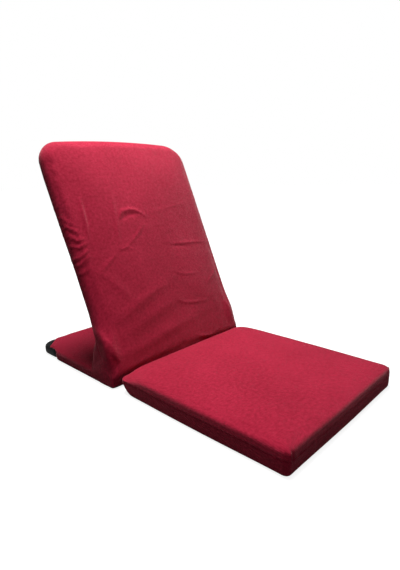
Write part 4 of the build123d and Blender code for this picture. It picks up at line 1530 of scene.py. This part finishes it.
# ---- studio -------------------------------------------------------------------------------
@dataclass
class Studio:
    """Pale floor, soft lamps and the camera at the photograph's place."""

    place: tuple[float, float, float] = (-0.7995, -0.7671, 0.5129)
    azimuth: float = 46.57
    elevation: float = 14.51
    roll: float = -0.93
    lens: float = 27.92
    near_place: tuple[float, float, float] = (0.0, 0.25, 1.15)
    near_aim: tuple[float, float, float] = (0.0, 0.1, 0.1)
    near_size: float = 0.45
    near_power: float = 7.0
    high_place: tuple[float, float, float] = (0.1, 0.3, 3.6)
    high_aim: tuple[float, float, float] = (0.0, 0.0, 0.0)
    high_size: float = 1.4
    high_power: float = 104.0
    fill: float = 0.042

    def camera(self) -> None:
        """Makes the camera from its place, heading, tilt and roll."""
        a, e = math.radians(self.azimuth), math.radians(self.elevation)
        look = Vector((math.cos(e) * math.sin(a), math.cos(e) * math.cos(a), -math.sin(e)))
        right = look.cross(Vector((0, 0, 1))).normalized()
        above = right.cross(look)
        c, s = math.cos(math.radians(self.roll)), math.sin(math.radians(self.roll))
        right, above = right * c + above * s, above * c - right * s
        data = bpy.data.cameras.new("photo_camera")
        data.sensor_fit = "AUTO"
        data.lens = self.lens
        data.clip_start = 0.01
        camera = put("photo_camera", data)
        turn = Matrix((right, above, -look)).transposed().to_4x4()
        camera.matrix_world = Matrix.Translation(self.place) @ turn
        bpy.context.scene.camera = camera

    def floor(self) -> None:
        """A wide pale floor that the camera sees white, with the chair's soft shadow."""
        mesh = bpy.data.meshes.new("studio_floor")
        build = bmesh.new()
        bmesh.ops.create_circle(build, cap_ends=True, segments=96, radius=14)
        bmesh.ops.translate(build, verts=build.verts, vec=(0, 0, -0.0004))
        build.to_mesh(mesh)
        build.free()
        floor = put("studio_floor", mesh)
        made, tree = new_material("pale_studio_floor")
        place = add(tree, "ShaderNodeTexCoord")
        dust = add(tree, "ShaderNodeTexNoise", inputs={
            "Vector": (place, "Object"), "Scale": 4.0, "Detail": 3.0})
        tone = mix_colours(tree, (dust, "Fac"), srgb("#6a6a69"), srgb("#6f6f6e"))
        plain = add(tree, "ShaderNodeBsdfDiffuse", inputs={"Color": (tone, "Result_Color")})
        seen = add(tree, "ShaderNodeBsdfDiffuse", inputs={"Color": srgb("#a0a0a0")})
        # The lamps light only the middle, so the floor's own white takes over further out.
        gap = add(tree, "ShaderNodeVectorMath", {"operation": "LENGTH"},
                  {0: (place, "Object")})
        own = add(tree, "ShaderNodeMapRange", {"interpolation_type": "SMOOTHSTEP"}, {
            "Value": (gap, "Value"), "From Min": 0.55, "From Max": 1.5, "To Min": 0.88,
            "To Max": 1.02})
        glow = add(tree, "ShaderNodeEmission", inputs={
            "Color": srgb("#ffffff"), "Strength": (own, "Result")})
        both = add(tree, "ShaderNodeAddShader", inputs={0: (seen, 0), 1: (glow, 0)})
        mixed = add(tree, "ShaderNodeMixShader", inputs={
            0: (seen_directly(tree), 0), 1: (plain, 0), 2: (both, 0)})
        add(tree, "ShaderNodeOutputMaterial", inputs={"Surface": (mixed, 0)})
        mesh.materials.append(made)

    def world(self) -> None:
        """A white world to the eye, a soft even light to the chair."""
        made = bpy.data.worlds.new("studio_world")
        bpy.context.scene.world = made
        made.use_nodes = True
        tree = made.node_tree
        tree.nodes.clear()
        light = add(tree, "ShaderNodeBackground", inputs={
            "Color": srgb("#ffffff"), "Strength": self.fill})
        white = add(tree, "ShaderNodeBackground", inputs={
            "Color": srgb("#ffffff"), "Strength": 1.0})
        mixed = add(tree, "ShaderNodeMixShader", inputs={
            0: (seen_directly(tree), 0), 1: (light, 0), 2: (white, 0)})
        add(tree, "ShaderNodeOutputWorld", inputs={"Surface": (mixed, 0)})

    def lamp(self, name: str, place: tuple[float, float, float],
             aim: tuple[float, float, float], size: float, power: float) -> None:
        """Makes a square soft lamp that looks at a point.

        Args:
            name: the lamp's name.
            place: where it stands.
            aim: the point it looks at.
            size: its side.
            power: its power in watts.
        """
        data = bpy.data.lights.new(name, "AREA")
        data.shape = "SQUARE"
        data.size = size
        data.energy = power
        lamp = put(name, data)
        way = Vector(aim) - Vector(place)
        lamp.matrix_world = (Matrix.Translation(place)
                             @ way.to_track_quat("-Z", "Y").to_matrix().to_4x4())

    def build(self) -> None:
        """Sets up everything round the chair."""
        self.camera()
        self.floor()
        self.world()
        self.lamp("near_lamp", self.near_place, self.near_aim, self.near_size, self.near_power)
        self.lamp("high_lamp", self.high_place, self.high_aim, self.high_size, self.high_power)
        bpy.context.scene.view_settings.view_transform = "Standard"
        LOG.info("studio ready")


def main() -> None:
    """Builds the studio, then each sub-assembly."""
    logging.basicConfig(level=logging.INFO, format="%(message)s")
    Studio().build()
    cloth = CANVAS.material()
    thread = THREAD.material()
    seat = SeatCushion()
    seat.build(cloth, thread)
    foam = FOAM.material()
    seat.foam(foam)
    TailPanel().build(cloth, thread)
    plastic = CAP_PLASTIC.material()
    for way in (-1, 1):
        CapSleeve().build(way, plastic)
    backrest = Backrest()
    backrest.build(cloth, thread)
    backrest.pad(foam)
    InnerPieces().dress()


if __name__ == "__main__":
    main()
